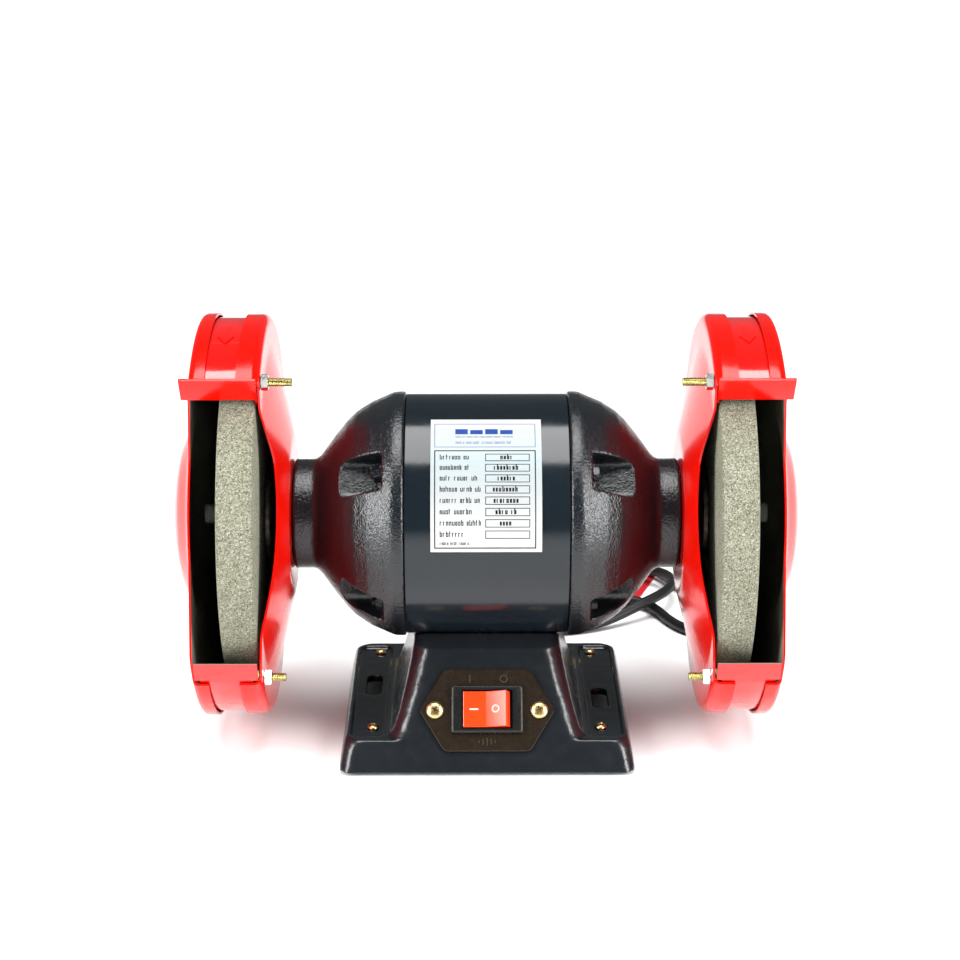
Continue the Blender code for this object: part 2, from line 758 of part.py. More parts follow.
NAVY = make_material("navy_enamel", (0.010, 0.016, 0.026), 0.28)
RED = make_material("red_enamel", (0.80, 0.012, 0.006), 0.22)
GRIT = make_material("grinding_grit", (0.36, 0.34, 0.27), 0.95)
STEEL = make_material("bright_steel", (0.62, 0.62, 0.60), 0.35, 1.0)
IRON = make_material("laminated_iron", (0.20, 0.20, 0.21), 0.5, 1.0)
FLANGE = make_material("flange_steel", (0.24, 0.20, 0.16), 0.5, 1.0)
COPPER = make_material("winding_copper", (0.60, 0.28, 0.12), 0.4, 1.0)
ZINC = make_material("yellow_zinc", (0.68, 0.58, 0.28), 0.35, 1.0)
BRASS = make_material("brass", (0.78, 0.64, 0.34), 0.3, 1.0)
LABEL = make_material("label_silver", (0.70, 0.72, 0.74), 0.35)
PLATE_BLACK = make_material("plate_black", (0.018, 0.015, 0.012), 0.35)
SWITCH_BLACK = make_material("switch_black", (0.012, 0.012, 0.013), 0.4)
ROCKER_RED = make_material("rocker_red", (0.80, 0.05, 0.03), 0.3)
RUBBER = make_material("foot_rubber", (0.02, 0.02, 0.02), 0.8)
CORD_BLACK = make_material("cord_black", (0.013, 0.013, 0.013), 0.5)
TIE_RED = make_material("tie_red", (0.55, 0.02, 0.04), 0.5)
CASE = make_material("capacitor_white", (0.75, 0.75, 0.72), 0.5)

build_base(NAVY)
build_base_plate(STEEL)
build_feet(RUBBER, BRASS)
build_switch(PLATE_BLACK, SWITCH_BLACK, BRASS, ROCKER_RED)
build_drum(NAVY)
build_stator(IRON, COPPER)
for side_name, side_sign in SIDES.items():
    build_bell(side_name, side_sign, NAVY)
    build_guard(side_name, side_sign, RED, ZINC, STEEL)
build_spark_arrestor("left", -1, 0.0, RED)
build_spark_arrestor("right", 1, 0.0, RED)
build_tie_bolts(NAVY)
build_data_plate(LABEL)
build_capacitor(CASE)
build_bearings(STEEL)
build_rotor(STEEL, IRON, GRIT, FLANGE, ZINC)
build_gland(CORD_BLACK)
build_cord(CORD_BLACK, TIE_RED, BRASS)
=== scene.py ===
"""The bench grinder's looks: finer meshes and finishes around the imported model.

Lengths are in millimetres in the shapes below and turn into metres in the helpers. Places are counted
from the shaft's line, as in the CAD: s runs along the shaft, r away from it, and an angle is counted
from straight forward (-Y) upwards.
"""

import json
import math
import random

import bmesh
import bpy
from mathutils import Matrix, Vector, noise


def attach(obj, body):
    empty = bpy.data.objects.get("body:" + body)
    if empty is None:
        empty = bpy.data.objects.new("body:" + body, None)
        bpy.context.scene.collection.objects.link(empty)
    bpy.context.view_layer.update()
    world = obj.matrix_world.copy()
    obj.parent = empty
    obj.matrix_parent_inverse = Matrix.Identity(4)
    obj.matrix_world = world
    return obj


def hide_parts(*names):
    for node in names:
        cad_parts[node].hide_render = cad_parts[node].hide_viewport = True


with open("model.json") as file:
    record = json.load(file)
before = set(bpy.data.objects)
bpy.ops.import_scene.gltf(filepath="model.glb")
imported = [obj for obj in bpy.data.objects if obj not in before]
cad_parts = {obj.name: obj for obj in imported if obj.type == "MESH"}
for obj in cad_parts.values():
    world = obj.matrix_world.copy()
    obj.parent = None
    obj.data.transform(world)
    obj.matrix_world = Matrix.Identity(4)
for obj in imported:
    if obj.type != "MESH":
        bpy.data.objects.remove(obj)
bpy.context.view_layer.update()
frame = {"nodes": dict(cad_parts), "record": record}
NODES = frame["nodes"]
SPIN = next(j for j in frame["record"]["behaviour"]["joints"] if j["name"] == "rotor_spin")

MM = 0.001
AXIS_BACK = SPIN["pos_m"][1] / MM
AXIS_HEIGHT = SPIN["pos_m"][2] / MM
SIDES = {"left": -1, "right": 1}


# Frames and mesh helpers

def metres(values):
    return Vector(values) * MM


def shift(x, y, z):
    return Matrix.Translation(metres((x, y, z)))


def spin(axis, degrees):
    return Matrix.Rotation(math.radians(degrees), 4, axis)


def span(side, near, far):
    """Both ends of a stretch along X on that side, the lower one first."""
    return sorted((side * near, side * far))


def upright(x, y, z):
    """At a point given from the shaft's line in y and from the floor in z."""
    return shift(x, AXIS_BACK + y, z)


def along_shaft(side):
    """Local +Z runs outwards along the shaft on that side."""
    return upright(0, 0, AXIS_HEIGHT) @ spin("Y", side * 90)


def side_view():
    """Local X is world Y, local Y is world Z and local Z is world X, from the shaft's line."""
    turn = Matrix(((0, 0, 1, 0), (1, 0, 0, 0), (0, 1, 0, 0), (0, 0, 0, 1)))
    return upright(0, 0, AXIS_HEIGHT) @ turn


def radial(angle):
    """Local X points away from the shaft at this angle and local Z along world X."""
    return side_view() @ Matrix.Rotation(math.pi - math.radians(angle), 4, "Z")


def on_circle(radius, angle):
    turn = math.radians(angle)
    return (-radius * math.cos(turn), radius * math.sin(turn))


def arc(radius, first, last, count):
    step = (last - first) / count
    return [on_circle(radius, first + step * i) for i in range(count + 1)]


def turn_points(centre, radius, first, last, count):
    """Points on a circle in plain degrees."""
    points = []
    for i in range(count + 1):
        turn = math.radians(first + (last - first) * i / count)
        points.append((centre[0] + radius * math.cos(turn), centre[1] + radius * math.sin(turn)))
    return points


def round_corners(low, high, radius, per_corner=6):
    left, front, right, back = low[0] + radius, low[1] + radius, high[0] - radius, high[1] - radius
    outline = []
    for quarter, centre in enumerate(((right, back), (left, back), (left, front), (right, front))):
        outline += turn_points(centre, radius, 90 * quarter, 90 * quarter + 90, per_corner)
    return outline


def eased(outline, radius, count=5, closed=True):
    """The outline with each of its corners replaced by a short curve."""
    result = []
    total = len(outline)
    for i, corner in enumerate(outline):
        if not closed and i in (0, total - 1):
            result.append(corner)
            continue
        here = Vector(corner)
        before = Vector(outline[i - 1]) - here
        after = Vector(outline[(i + 1) % total]) - here
        reach = min(radius, before.length * 0.45, after.length * 0.45)
        start = here + before.normalized() * reach
        end = here + after.normalized() * reach
        for k in range(count + 1):
            t = k / count
            result.append(tuple(start.lerp(here, t).lerp(here.lerp(end, t), t)))
    return result


def add_object(name, data):
    thing = bpy.data.objects.new(name, data)
    bpy.context.scene.collection.objects.link(thing)
    return thing


def add_mesh(name, work, place):
    """The mesh with its vertices put in the frame, so the object itself stays at the origin."""
    bmesh.ops.recalc_face_normals(work, faces=work.faces)
    mesh = bpy.data.meshes.new(name)
    work.to_mesh(mesh)
    work.free()
    mesh.transform(place)
    return add_object(name, mesh)


def ring_of(work, radii, s):
    """Points round local Z at this height, one for each radius."""
    ring = []
    for i, r in enumerate(radii):
        turn = 2 * math.pi * i / len(radii)
        ring.append(work.verts.new(metres((r * math.cos(turn), r * math.sin(turn), s))))
    return ring


def walls(work, rings):
    """Faces between neighbouring rings of equal point counts, or between a ring and a single point."""
    for a, b in zip(rings, rings[1:]):
        steps = max(len(a), len(b))
        for i in range(steps):
            j = (i + 1) % steps
            corners = (a[i % len(a)], a[j % len(a)], b[j % len(b)], b[i % len(b)])
            corners = list(dict.fromkeys(corners))
            if len(corners) > 2:
                work.faces.new(corners)


def caps(work, rings):
    work.faces.new(reversed(rings[0]))
    work.faces.new(rings[-1])


def turned(name, outline, place, steps):
    """A profile of (r, s) points turned about local Z."""
    work = bmesh.new()
    rings = [ring_of(work, [r] * steps if r > 0 else [0], s) for r, s in outline]
    if len(rings[0]) > 1 and len(rings[-1]) > 1:
        rings.append(rings[0])
    walls(work, rings)
    return add_mesh(name, work, place)


def loft(name, sections, place):
    """Level outlines of equal point counts, lowest first, joined side to side and capped."""
    work = bmesh.new()
    rings = [[work.verts.new(metres((x, y, z))) for x, y in outline] for z, outline in sections]
    caps(work, rings)
    walls(work, rings)
    return add_mesh(name, work, place)


def slab(name, outline, low, high, place):
    """A flat outline in local XY, extruded along local Z from low to high."""
    return loft(name, ((low, outline), (high, outline)), place)


def prism(name, sides, radius, low, high, place):
    outline = turn_points((0, 0), radius, 0, 360 - 360 / sides, sides - 1)
    return slab(name, outline, low, high, place)


def apply(thing):
    """Turns the modifiers into the object's own mesh."""
    graph = bpy.context.evaluated_depsgraph_get()
    graph.update()
    mesh = bpy.data.meshes.new_from_object(thing.evaluated_get(graph))
    old = thing.data
    thing.modifiers.clear()
    thing.data = mesh
    bpy.data.meshes.remove(old)
    return thing


def combine(target, operation, others):
    for other in others:
        step = target.modifiers.new("step", "BOOLEAN")
        step.operation = operation
        step.solver = "EXACT"
        step.object = other
        apply(target)
        bpy.data.objects.remove(other)
    return target


def cut(target, *cutters):
    return combine(target, "DIFFERENCE", cutters)


def join(target, *others):
    return combine(target, "UNION", others)


def merge(target, *others):
    """Puts the other meshes into the target's without joining their surfaces."""
    work = bmesh.new()
    slots = list(target.data.materials)
    work.from_mesh(target.data)
    for other in others:
        start = len(work.faces)
        own = list(other.data.materials)
        work.from_mesh(other.data)
        work.faces.ensure_lookup_table()
        for face in work.faces[start:]:
            material = own[face.material_index] if own else None
            if material is not None:
                if material not in slots:
                    slots.append(material)
                face.material_index = slots.index(material)
        bpy.data.objects.remove(other)
    work.to_mesh(target.data)
    work.free()
    for material in slots[len(target.data.materials):]:
        target.data.materials.append(material)
    return target


def paint(thing, material):
    thing.data.materials.clear()
    thing.data.materials.append(material)
    return thing


def bevel(thing, width, segments, angle):
    step = thing.modifiers.new("bevel", "BEVEL")
    step.width = width * MM
    step.segments = segments
    step.angle_limit = math.radians(angle)
    return apply(thing)


def smooth(thing, angle):
    thing.data.shade_smooth()
    thing.data.set_sharp_from_angle(angle=math.radians(angle))
    return thing


def cast(thing, voxel, rounds):
    """Rounds every edge, as a sand casting's are, by remeshing and smoothing."""
    step = thing.modifiers.new("cast", "REMESH")
    step.mode = "VOXEL"
    step.voxel_size = voxel * MM
    step.use_smooth_shade = True
    soft = thing.modifiers.new("soft", "SMOOTH")
    soft.factor = 0.5
    soft.iterations = rounds
    apply(thing)
    thing.data.shade_smooth()
    return thing


def place_piece(thing, body, slot, *nodes):
    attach(thing, body)
    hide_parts(*nodes)
    return thing


def fixed(thing, slot, *nodes):
    """A piece that stands still with the housing."""
    return place_piece(thing, "stand", slot, *nodes)


def both_sides(build):
    for name, side in SIDES.items():
        build(name, side)


# Finishes

def finish_of(name, colour, roughness, metallic=0, coat=0, coat_roughness=0.03, mirror=0.4):
    """A plain material, with its node tree, its shader and the coordinates for its textures."""
    material = bpy.data.materials.new(name)
    material.use_nodes = True
    tree = material.node_tree
    shader = tree.nodes["Principled BSDF"]
    shader.inputs["Base Color"].default_value = (*colour, 1)
    shader.inputs["Roughness"].default_value = roughness
    shader.inputs["Metallic"].default_value = metallic
    shader.inputs["Specular IOR Level"].default_value = mirror
    shader.inputs["Coat Weight"].default_value = coat
    shader.inputs["Coat Roughness"].default_value = coat_roughness
    return material, tree, shader, add_node(tree, "TexCoord", {}, {}).outputs["Object"]


def feed(node, socket, source):
    node.id_data.links.new(source, node.inputs[socket])


def add_node(tree, kind, sources, values):
    """A node with some inputs fed by other nodes and some set."""
    node = tree.nodes.new("ShaderNode" + kind)
    for socket, value in values.items():
        node.inputs[socket].default_value = value
    for socket, source in sources.items():
        feed(node, socket, source)
    return node


def stretched(tree, vector, scale):
    return add_node(tree, "Mapping", {"Vector": vector}, {"Scale": scale}).outputs["Vector"]


def noise_of(tree, vector, scale, detail=3, rough=0.5, distortion=0):
    values = {"Scale": scale, "Detail": detail, "Roughness": rough, "Distortion": distortion}
    return add_node(tree, "TexNoise", {"Vector": vector}, values).outputs["Fac"]


def ramp(tree, value, low, high, first, last):
    """Maps value from low..high to first..last, clamped."""
    limits = {"From Min": low, "From Max": high, "To Min": first, "To Max": last}
    return add_node(tree, "MapRange", {"Value": value}, limits).outputs["Result"]


def colours(tree, value, stops):
    node = tree.nodes.new("ShaderNodeValToRGB")
    band = node.color_ramp
    while len(band.elements) < len(stops):
        band.elements.new(0.5)
    for element, (place, colour) in zip(band.elements, stops):
        element.position = place
        element.color = (*colour, 1)
    feed(node, "Fac", value)
    return node.outputs["Color"]


def bumps(tree, shader, layers):
    """layers are (height, distance in mm, strength), the coarsest first."""
    normal = None
    for height, distance, strength in layers:
        values = {"Distance": distance * MM, "Strength": strength}
        node = add_node(tree, "Bump", {"Height": height}, values)
        if normal is not None:
            feed(node, "Normal", normal)
        normal = node.outputs["Normal"]
    feed(shader, "Normal", normal)
    return normal


def multiplied(tree, first, second):
    both = tree.nodes.new("ShaderNodeMix")
    both.data_type = "RGBA"
    both.blend_type = "MULTIPLY"
    both.inputs["Factor"].default_value = 1
    feed(both, "A", first)
    feed(both, "B", second)
    return both.outputs["Result"]


def enamel(name, colour, shade, roughness, lumps, lump_scale, coat=0, coat_roughness=0.05, mirror=0.4):
    """Paint over metal: a slow change of tone, a changing gloss and a lumpy surface."""
    material, tree, shader, where = finish_of(name, colour, roughness, 0, coat, coat_roughness, mirror)
    slow = noise_of(tree, where, 18, 4, 0.6)
    feed(shader, "Base Color", colours(tree, slow, ((0.3, shade), (0.65, colour))))
    gloss = noise_of(tree, where, 140, 3, 0.6)
    feed(shader, "Roughness", ramp(tree, gloss, 0.3, 0.7, roughness * 0.85, roughness * 1.2))
    coarse = noise_of(tree, where, lump_scale, 2, 0.5, 0.3)
    fine = noise_of(tree, where, lump_scale * 3.2, 2, 0.5)
    normal = bumps(tree, shader, ((coarse, lumps, 1), (fine, lumps * 0.1, 1)))
    feed(shader, "Coat Normal", normal)
    return material


def metal(name, colour, shade, roughness, grain=(900, 900, 900), marks=0.02):
    """Bare or plated metal with a worked grain and slight stains."""
    material, tree, shader, where = finish_of(name, colour, roughness, 1)
    stain = noise_of(tree, where, 260, 4, 0.65)
    feed(shader, "Base Color", colours(tree, stain, ((0.32, shade), (0.62, colour))))
    worked = noise_of(tree, stretched(tree, where, grain), 1, 3, 0.6)
    feed(shader, "Roughness", ramp(tree, worked, 0.3, 0.7, roughness * 0.7, roughness * 1.4))
    bumps(tree, shader, ((worked, marks, 1),))
    return material


def plastic(name, colour, shade, roughness, grain=0.02, scale=900, mirror=0.4):
    material, tree, shader, where = finish_of(name, colour, roughness, mirror=mirror)
    slow = noise_of(tree, where, 60, 3, 0.6)
    feed(shader, "Base Color", colours(tree, slow, ((0.3, shade), (0.7, colour))))
    texture = noise_of(tree, where, scale, 2, 0.6)
    feed(shader, "Roughness", ramp(tree, texture, 0.3, 0.7, roughness * 0.85, roughness * 1.2))
    bumps(tree, shader, ((texture, grain, 1),))
    return material


def grit_finish():
    """Bonded abrasive: fine grains of several tones with pores between them."""
    material, tree, shader, where = finish_of("grinding_grit", (0.36, 0.34, 0.27), 0.92)
    grains = add_node(tree, "TexVoronoi", {"Vector": where}, {"Scale": 1750}).outputs
    tone = add_node(tree, "SeparateColor", {"Color": grains["Color"]}, {}).outputs
    stops = (
        (0, (0.05, 0.05, 0.032)), (0.22, (0.12, 0.122, 0.086)), (0.55, (0.176, 0.178, 0.13)),
        (0.88, (0.232, 0.233, 0.178)), (1, (0.35, 0.35, 0.285)),
    )
    speckle = colours(tree, tone["Red"], stops)
    cloudy = noise_of(tree, where, 55, 4, 0.6)
    stain = colours(tree, cloudy, ((0.3, (0.8, 0.78, 0.72)), (0.7, (1, 1, 1))))
    feed(shader, "Base Color", multiplied(tree, speckle, stain))
    pores = noise_of(tree, where, 1100, 3, 0.7)
    bumps(tree, shader, ((grains["Distance"], 0.2, 0.7), (pores, 0.2, 0.8)))
    return material


def label_finish():
    """Printed silver foil. Its tone shifts slowly up the plate with height, from warm white to pale blue
    and back; the lighter tone towards the top is a painted reflection of the overhead light.
    """
    material, tree, shader, where = finish_of("label_silver", (0.45, 0.46, 0.47), 0.36, mirror=0.25)
    split = add_node(tree, "SeparateXYZ", {"Vector": where}, {})
    # Painted reflection: this tone ramp by height makes the plate lighter towards its top, where the
    # overhead light would mirror.
    up = ramp(tree, split.outputs["Z"], 0.145, 0.215, 0, 1)
    stops = (
        (0, (0.37, 0.378, 0.374)), (0.22, (0.3, 0.312, 0.313)), (0.5, (0.245, 0.288, 0.3)),
        (0.66, (0.275, 0.295, 0.292)), (0.76, (0.39, 0.39, 0.38)), (1, (0.45, 0.452, 0.45)),
    )
    tone = colours(tree, up, stops)
    brushed = noise_of(tree, stretched(tree, where, (30, 900, 900)), 1, 3, 0.6)
    streak = colours(tree, brushed, ((0.3, (0.93, 0.93, 0.93)), (0.7, (1, 1, 1))))
    feed(shader, "Base Color", multiplied(tree, tone, streak))
    feed(shader, "Roughness", ramp(tree, brushed, 0.3, 0.7, 0.3, 0.42))
    bumps(tree, shader, ((brushed, 0.006, 1),))
    return material


NAVY = enamel(
    "navy_enamel", (0.0044, 0.0078, 0.0108), (0.0034, 0.0061, 0.0087), 0.15, 0.02, 260, mirror=0.41
)
NAVY_CAST = enamel(
    "navy_enamel_cast", (0.006, 0.0078, 0.0094), (0.0046, 0.006, 0.0073), 0.13, 0.36, 900, mirror=0.46
)
NAVY_BASE = enamel(
    "navy_enamel_base", (0.0066, 0.0084, 0.0102), (0.005, 0.0063, 0.0078), 0.23, 0.1, 480, 0.1, 0.08, 0.39
)
RED = enamel("red_enamel", (0.55, 0.0034, 0.0005), (0.5, 0.0027, 0.0004), 0.14, 0.022, 130, mirror=0.26)
# A lighter, glossier copy of the red enamel for the guard's band alone. Its lighter colour is painted
# light; the band is the same paint as the dish and cover.
RED_BAND_LIT = enamel(
    "red_enamel_band_lit", (0.62, 0.0024, 0.0004), (0.57, 0.0018, 0.0003), 0.09, 0.018, 130, 0.5, 0.02, 0.45
)
INSIDE = enamel("guard_inside", (0.2, 0.19, 0.15), (0.13, 0.124, 0.1), 0.6, 0.1, 160, mirror=0.3)
GRIT = grit_finish()
STEEL = metal("bright_steel", (0.66, 0.66, 0.64), (0.48, 0.48, 0.46), 0.3)
SHAFT_STEEL = metal("shaft_steel", (0.34, 0.34, 0.33), (0.2, 0.2, 0.19), 0.38)
NUT_STEEL = metal("white_zinc", (0.9, 0.9, 0.87), (0.72, 0.72, 0.69), 0.2)
ZINC = metal("yellow_zinc", (0.56, 0.5, 0.22), (0.32, 0.29, 0.11), 0.24)
BRASS = metal("brass", (0.66, 0.52, 0.26), (0.46, 0.34, 0.14), 0.28)
NUT_DULL = plastic("dull_zinc", (0.5, 0.51, 0.47), (0.36, 0.37, 0.34), 0.35, 0.03, 400)
FLANGE = metal("flange_steel", (0.26, 0.21, 0.17), (0.14, 0.11, 0.09), 0.48)
IRON = metal("laminated_iron", (0.24, 0.24, 0.25), (0.12, 0.12, 0.13), 0.5, (1800, 40, 40), 0.05)
COPPER = metal("winding_copper", (0.66, 0.3, 0.13), (0.42, 0.17, 0.07), 0.35, (300, 900, 900), 0.15)
LABEL = label_finish()
INK_BLACK = plastic("label_ink", (0.006, 0.006, 0.008), (0.004, 0.004, 0.006), 0.6, mirror=0.1)
INK_BLUE = plastic("label_blue", (0.01, 0.036, 0.18), (0.009, 0.031, 0.16), 0.6, mirror=0.1)
INK_PALE = plastic("label_pale_ink", (0.08, 0.115, 0.2), (0.07, 0.1, 0.18), 0.6, mirror=0.1)
PLATE_BLACK = plastic("plate_black", (0.0115, 0.0066, 0.003), (0.0095, 0.0055, 0.0025), 0.25, 0.003, 300)
# Pale strips for the switch bezel's edges: painted highlights on black plastic.
BEZEL_HIGHLIGHT = plastic("bezel_painted_highlight", (0.085, 0.075, 0.06), (0.06, 0.052, 0.042), 0.25, 0.006, 500)
# The switch plate's raised symbols: black plastic like the plate, so this lighter colour is a painted
# highlight.
RAISED_MARK_HIGHLIGHT = plastic("plate_mark_painted_highlight", (0.036, 0.025, 0.016), (0.027, 0.018, 0.011), 0.3, 0.02, 500)
SWITCH_BLACK = plastic("switch_black", (0.006, 0.0065, 0.0065), (0.0042, 0.0046, 0.0046), 0.24, 0.008)
ROCKER_ON = plastic("rocker_red", (0.68, 0.039, 0.005), (0.62, 0.032, 0.0042), 0.16, 0.004, 700)
MARK_WHITE = plastic("mark_white", (0.5, 0.42, 0.36), (0.44, 0.36, 0.31), 0.45)
RUBBER = plastic("foot_rubber", (0.013, 0.013, 0.013), (0.009, 0.009, 0.009), 0.75, 0.05, 420)
CORD_BLACK = plastic(
    "cord_black", (0.008, 0.0074, 0.0068), (0.0054, 0.005, 0.0048), 0.4, 0.03, 600, mirror=0.3
)
TIE_RED = plastic("tie_red", (0.46, 0.008, 0.014), (0.36, 0.006, 0.01), 0.45, 0.03, 500)
CASE = plastic("capacitor_white", (0.52, 0.52, 0.49), (0.46, 0.46, 0.43), 0.5)
FLOOR = plastic("studio_floor", (0.9, 0.9, 0.9), (0.885, 0.885, 0.885), 0.6, 0.01, 60)

PLAIN_FINISHES = {
    "stator_core": IRON,
    "rotor_core": IRON,
    "winding": COPPER,
    "bearing": STEEL,
    "run_capacitor": CASE,
    "base_plate": STEEL,
    "rubber_foot": RUBBER,
    "tie_bolt": ZINC,
}
for node_name, node in NODES.items():
    for start, finish in PLAIN_FINISHES.items():
        if node_name.startswith(start):
            paint(node, finish)


# Camera, light and floor

CAMERA_FAR = 1300  # from the shaft's line
CAMERA_PITCH = 17.5  # degrees down to the shaft's middle
CAMERA_AIM = (-0.28, 0.85, 0)  # yaw, pitch and roll that put the grinder where it stands in the view
CAMERA_ACROSS = -9.8
LENS = 83.25
SENSOR = 36
SUN_WIDTH = 43
SUN_POWER = 4
SUN_TILT = 3.5
LAMP_TURN = 54
LAMP_FAR = 1.45
LAMP_HEIGHT = 0.62
LAMP_AIM = (0, 0, 0.16)
LAMP_SIZE = (0.46, 1.4)
LAMP_POWER = 38


def build_camera():
    data = bpy.data.cameras.new("camera")
    data.lens = LENS
    data.sensor_width = SENSOR
    data.clip_start = 0.05
    data.clip_end = 20
    camera = add_object("camera", data)
    down = math.radians(CAMERA_PITCH)
    place = upright(CAMERA_ACROSS, -CAMERA_FAR * math.cos(down), AXIS_HEIGHT + CAMERA_FAR * math.sin(down))
    yaw, pitch, roll = (math.radians(a) for a in CAMERA_AIM)
    turn = Matrix.Rotation(yaw, 4, "Z") @ Matrix.Rotation(math.pi / 2 - down + pitch, 4, "X")
    camera.matrix_world = place @ turn @ Matrix.Rotation(roll, 4, "Z")
    bpy.context.scene.camera = camera


def side_light(name, side):
    data = bpy.data.lights.new(f"side_{name}", "AREA")
    data.shape = "RECTANGLE"
    data.size, data.size_y = LAMP_SIZE
    data.energy = LAMP_POWER
    turn = math.radians(LAMP_TURN)
    x, y = side * LAMP_FAR * math.sin(turn), -LAMP_FAR * math.cos(turn)
    place = Vector((x, y, LAMP_HEIGHT))
    aim = (Vector(LAMP_AIM) - place).to_track_quat("-Z", "Y").to_matrix().to_4x4()
    add_object(f"side_{name}", data).matrix_world = Matrix.Translation(place) @ aim


def build_studio():
    floor = slab("studio_floor", round_corners((-9000, -9000), (9000, 9000), 200), -20, 0, Matrix())
    paint(floor, FLOOR)
    build_world()
    sun = bpy.data.lights.new("overhead", "SUN")
    sun.angle = math.radians(SUN_WIDTH)
    sun.energy = SUN_POWER
    add_object("overhead", sun).matrix_world = spin("X", SUN_TILT)
    both_sides(side_light)
    bpy.context.scene.view_settings.view_transform = "Standard"


def build_world():
    """White behind the scene, and dim where it would only be mirrored."""
    world = bpy.data.worlds.new("studio")
    world.use_nodes = True
    tree = world.node_tree
    dim = tree.nodes["Background"]
    dim.inputs["Color"].default_value = (0.93, 0.97, 1, 1)
    dim.inputs["Strength"].default_value = 0.17
    bright = add_node(tree, "Background", {}, {"Color": (1, 1, 1, 1)})
    rays = add_node(tree, "LightPath", {}, {}).outputs["Is Camera Ray"]
    choices = {"Fac": rays, 1: dim.outputs["Background"], 2: bright.outputs["Background"]}
    pick = add_node(tree, "MixShader", choices, {})
    feed(tree.nodes["World Output"], "Surface", pick.outputs["Shader"])
    bpy.context.scene.world = world


build_camera()
build_studio()


# Mains lead

CORD_DIAMETER = 7
GLAND_X, GLAND_Z = 20, 34
CORD_Z = 3.6
COIL_CENTRE = (-45, 215)
COIL_RADIUS = 40
ROUTE = [
    (20, 101.1, 34), (20, 108, 34), (20, 117, 33.2), (21.5, 130, 27), (28, 142, 14),
    (40, 147, 5), (57, 149, CORD_Z), (75, 156, 4.4), (92, 166, 7.6), (108, 177, 12.2),
    (123, 191, 14), (132, 212, 13.6), (130, 237, 12.5), (114, 256.5, 9), (90, 265, 4.6),
    (65, 258, CORD_Z), (55, 234, 4), (67, 211, 5.6), (93, 205, 6.2), (115, 196, 4.4),
    (122, 171, CORD_Z), (134, 145, CORD_Z), (160, 131, CORD_Z), (187, 141, CORD_Z),
    (194, 171, CORD_Z), (178, 198, CORD_Z), (150, 214, CORD_Z), (134, 240, 5), (120, 271.5, 6),
    (93, 289, 4.6), (60, 288, CORD_Z), (28, 272, CORD_Z), (2, 260.8, CORD_Z),
    (-18.6, 259.4, CORD_Z),
]


def smooth_route(points, spacing):
    """Points read off a cubic B-spline that the route guides, about one spacing apart."""
    line = [Vector(p) for p in points]
    line = [2 * line[0] - line[1]] + line + [2 * line[-1] - line[-2]]
    path = []
    for a, b, c, d in zip(line, line[1:], line[2:], line[3:]):
        count = max(1, round((c - b).length / spacing))
        for i in range(count):
            t = i / count
            near = (1 - t) ** 3 * a + (3 * t**3 - 6 * t**2 + 4) * b
            far = (3 * t**2 + 3 * t - 3 * t**3 + 1) * c + t**3 * d
            path.append((near + far) / 6)
    path.append(line[-2])
    return path


def coil_turns():
    """Four and a half turns, two beside each other and two high, entered behind and left in front."""
    inner, outer = COIL_RADIUS - 3.75, COIL_RADIUS + 3.75
    low, high = CORD_Z, CORD_Z + 7.3
    stops = [
        (95, outer, low), (300, outer, low), (400, inner, low), (640, inner, low),
        (740, inner, high), (1000, inner, high), (1100, outer, high), (1320, outer, high),
        (1440, outer, high), (1560, outer + 0.2, high), (1690, outer + 0.2, high - 1.2),
    ]
    points = []
    for angle in range(95, 1691, 9):
        for (a0, r0, z0), (a1, r1, z1) in zip(stops, stops[1:]):
            if a0 <= angle <= a1:
                t = (angle - a0) / (a1 - a0)
                t = t * t * (3 - 2 * t)
                radius, z = r0 + (r1 - r0) * t, z0 + (z1 - z0) * t
                break
        turn = math.radians(angle)
        flat = (COIL_CENTRE[0] + radius * math.cos(turn), COIL_CENTRE[1] + radius * math.sin(turn))
        points.append(Vector((*flat, z)))
    return points


def build_cord():
    curve = bpy.data.curves.new("mains_lead", "CURVE")
    curve.dimensions = "3D"
    curve.bevel_depth = CORD_DIAMETER / 2 * MM
    curve.bevel_resolution = 5
    curve.use_fill_caps = True
    path = smooth_route(ROUTE, 6)[:-1] + coil_turns()
    line = curve.splines.new("POLY")
    line.points.add(len(path) - 1)
    ground = upright(0, 0, 0)
    for point, place in zip(line.points, path):
        point.co = (*(ground @ metres(place)), 1)
    line.use_smooth = True
    curve.materials.append(CORD_BLACK)
    cord = add_object("mains_lead", curve)
    return fixed(cord, "cord_black", "mains_cord", "cord_coil")


def build_plug():
    """A round moulded plug with finger grooves, a raised rim and two brass pins."""
    start = upright(COIL_CENTRE[0] + 28.6, COIL_CENTRE[1] - COIL_RADIUS - 3.9, 6.3)
    lie = start @ spin("Y", 74)
    sleeve = []
    for i in range(6):
        s = 2 + i * 3.6
        r = 4.4 + s * 0.088
        sleeve += [(r, s), (r, s + 2.2), (r - 1, s + 2.5), (r - 0.9, s + 3.3)]
    outline = [(0, 0), (4.2, 0)] + sleeve + [
        (6.6, 25), (11, 27), (15, 30), (16.9, 37), (17.7, 43.5), (17.9, 46), (17.2, 47.6),
        (17.2, 49.6), (17.9, 51), (17.9, 59.6), (17, 61.2), (15.6, 61.9), (0, 61.9),
    ]
    plug = turned("mains_plug", outline, lie, 64)
    for y in (-26.4, 26.4):
        cut(plug, slab("grip", round_corners((-12, y - 10), (12, y + 10), 3), 33, 57, lie))
    paint(bevel(plug, 0.4, 2, 40), CORD_BLACK)
    smooth(plug, 40)
    for y in (-9.5, 9.5):
        line = [(0, 60), (2.35, 60), (2.35, 79.2), (1.9, 80.4), (0.9, 81), (0, 81)]
        pin = turned("pin", line, lie @ shift(0, y, 0), 24)
        merge(plug, paint(smooth(pin, 50), BRASS))
    return fixed(plug, "cord_black", "plug")


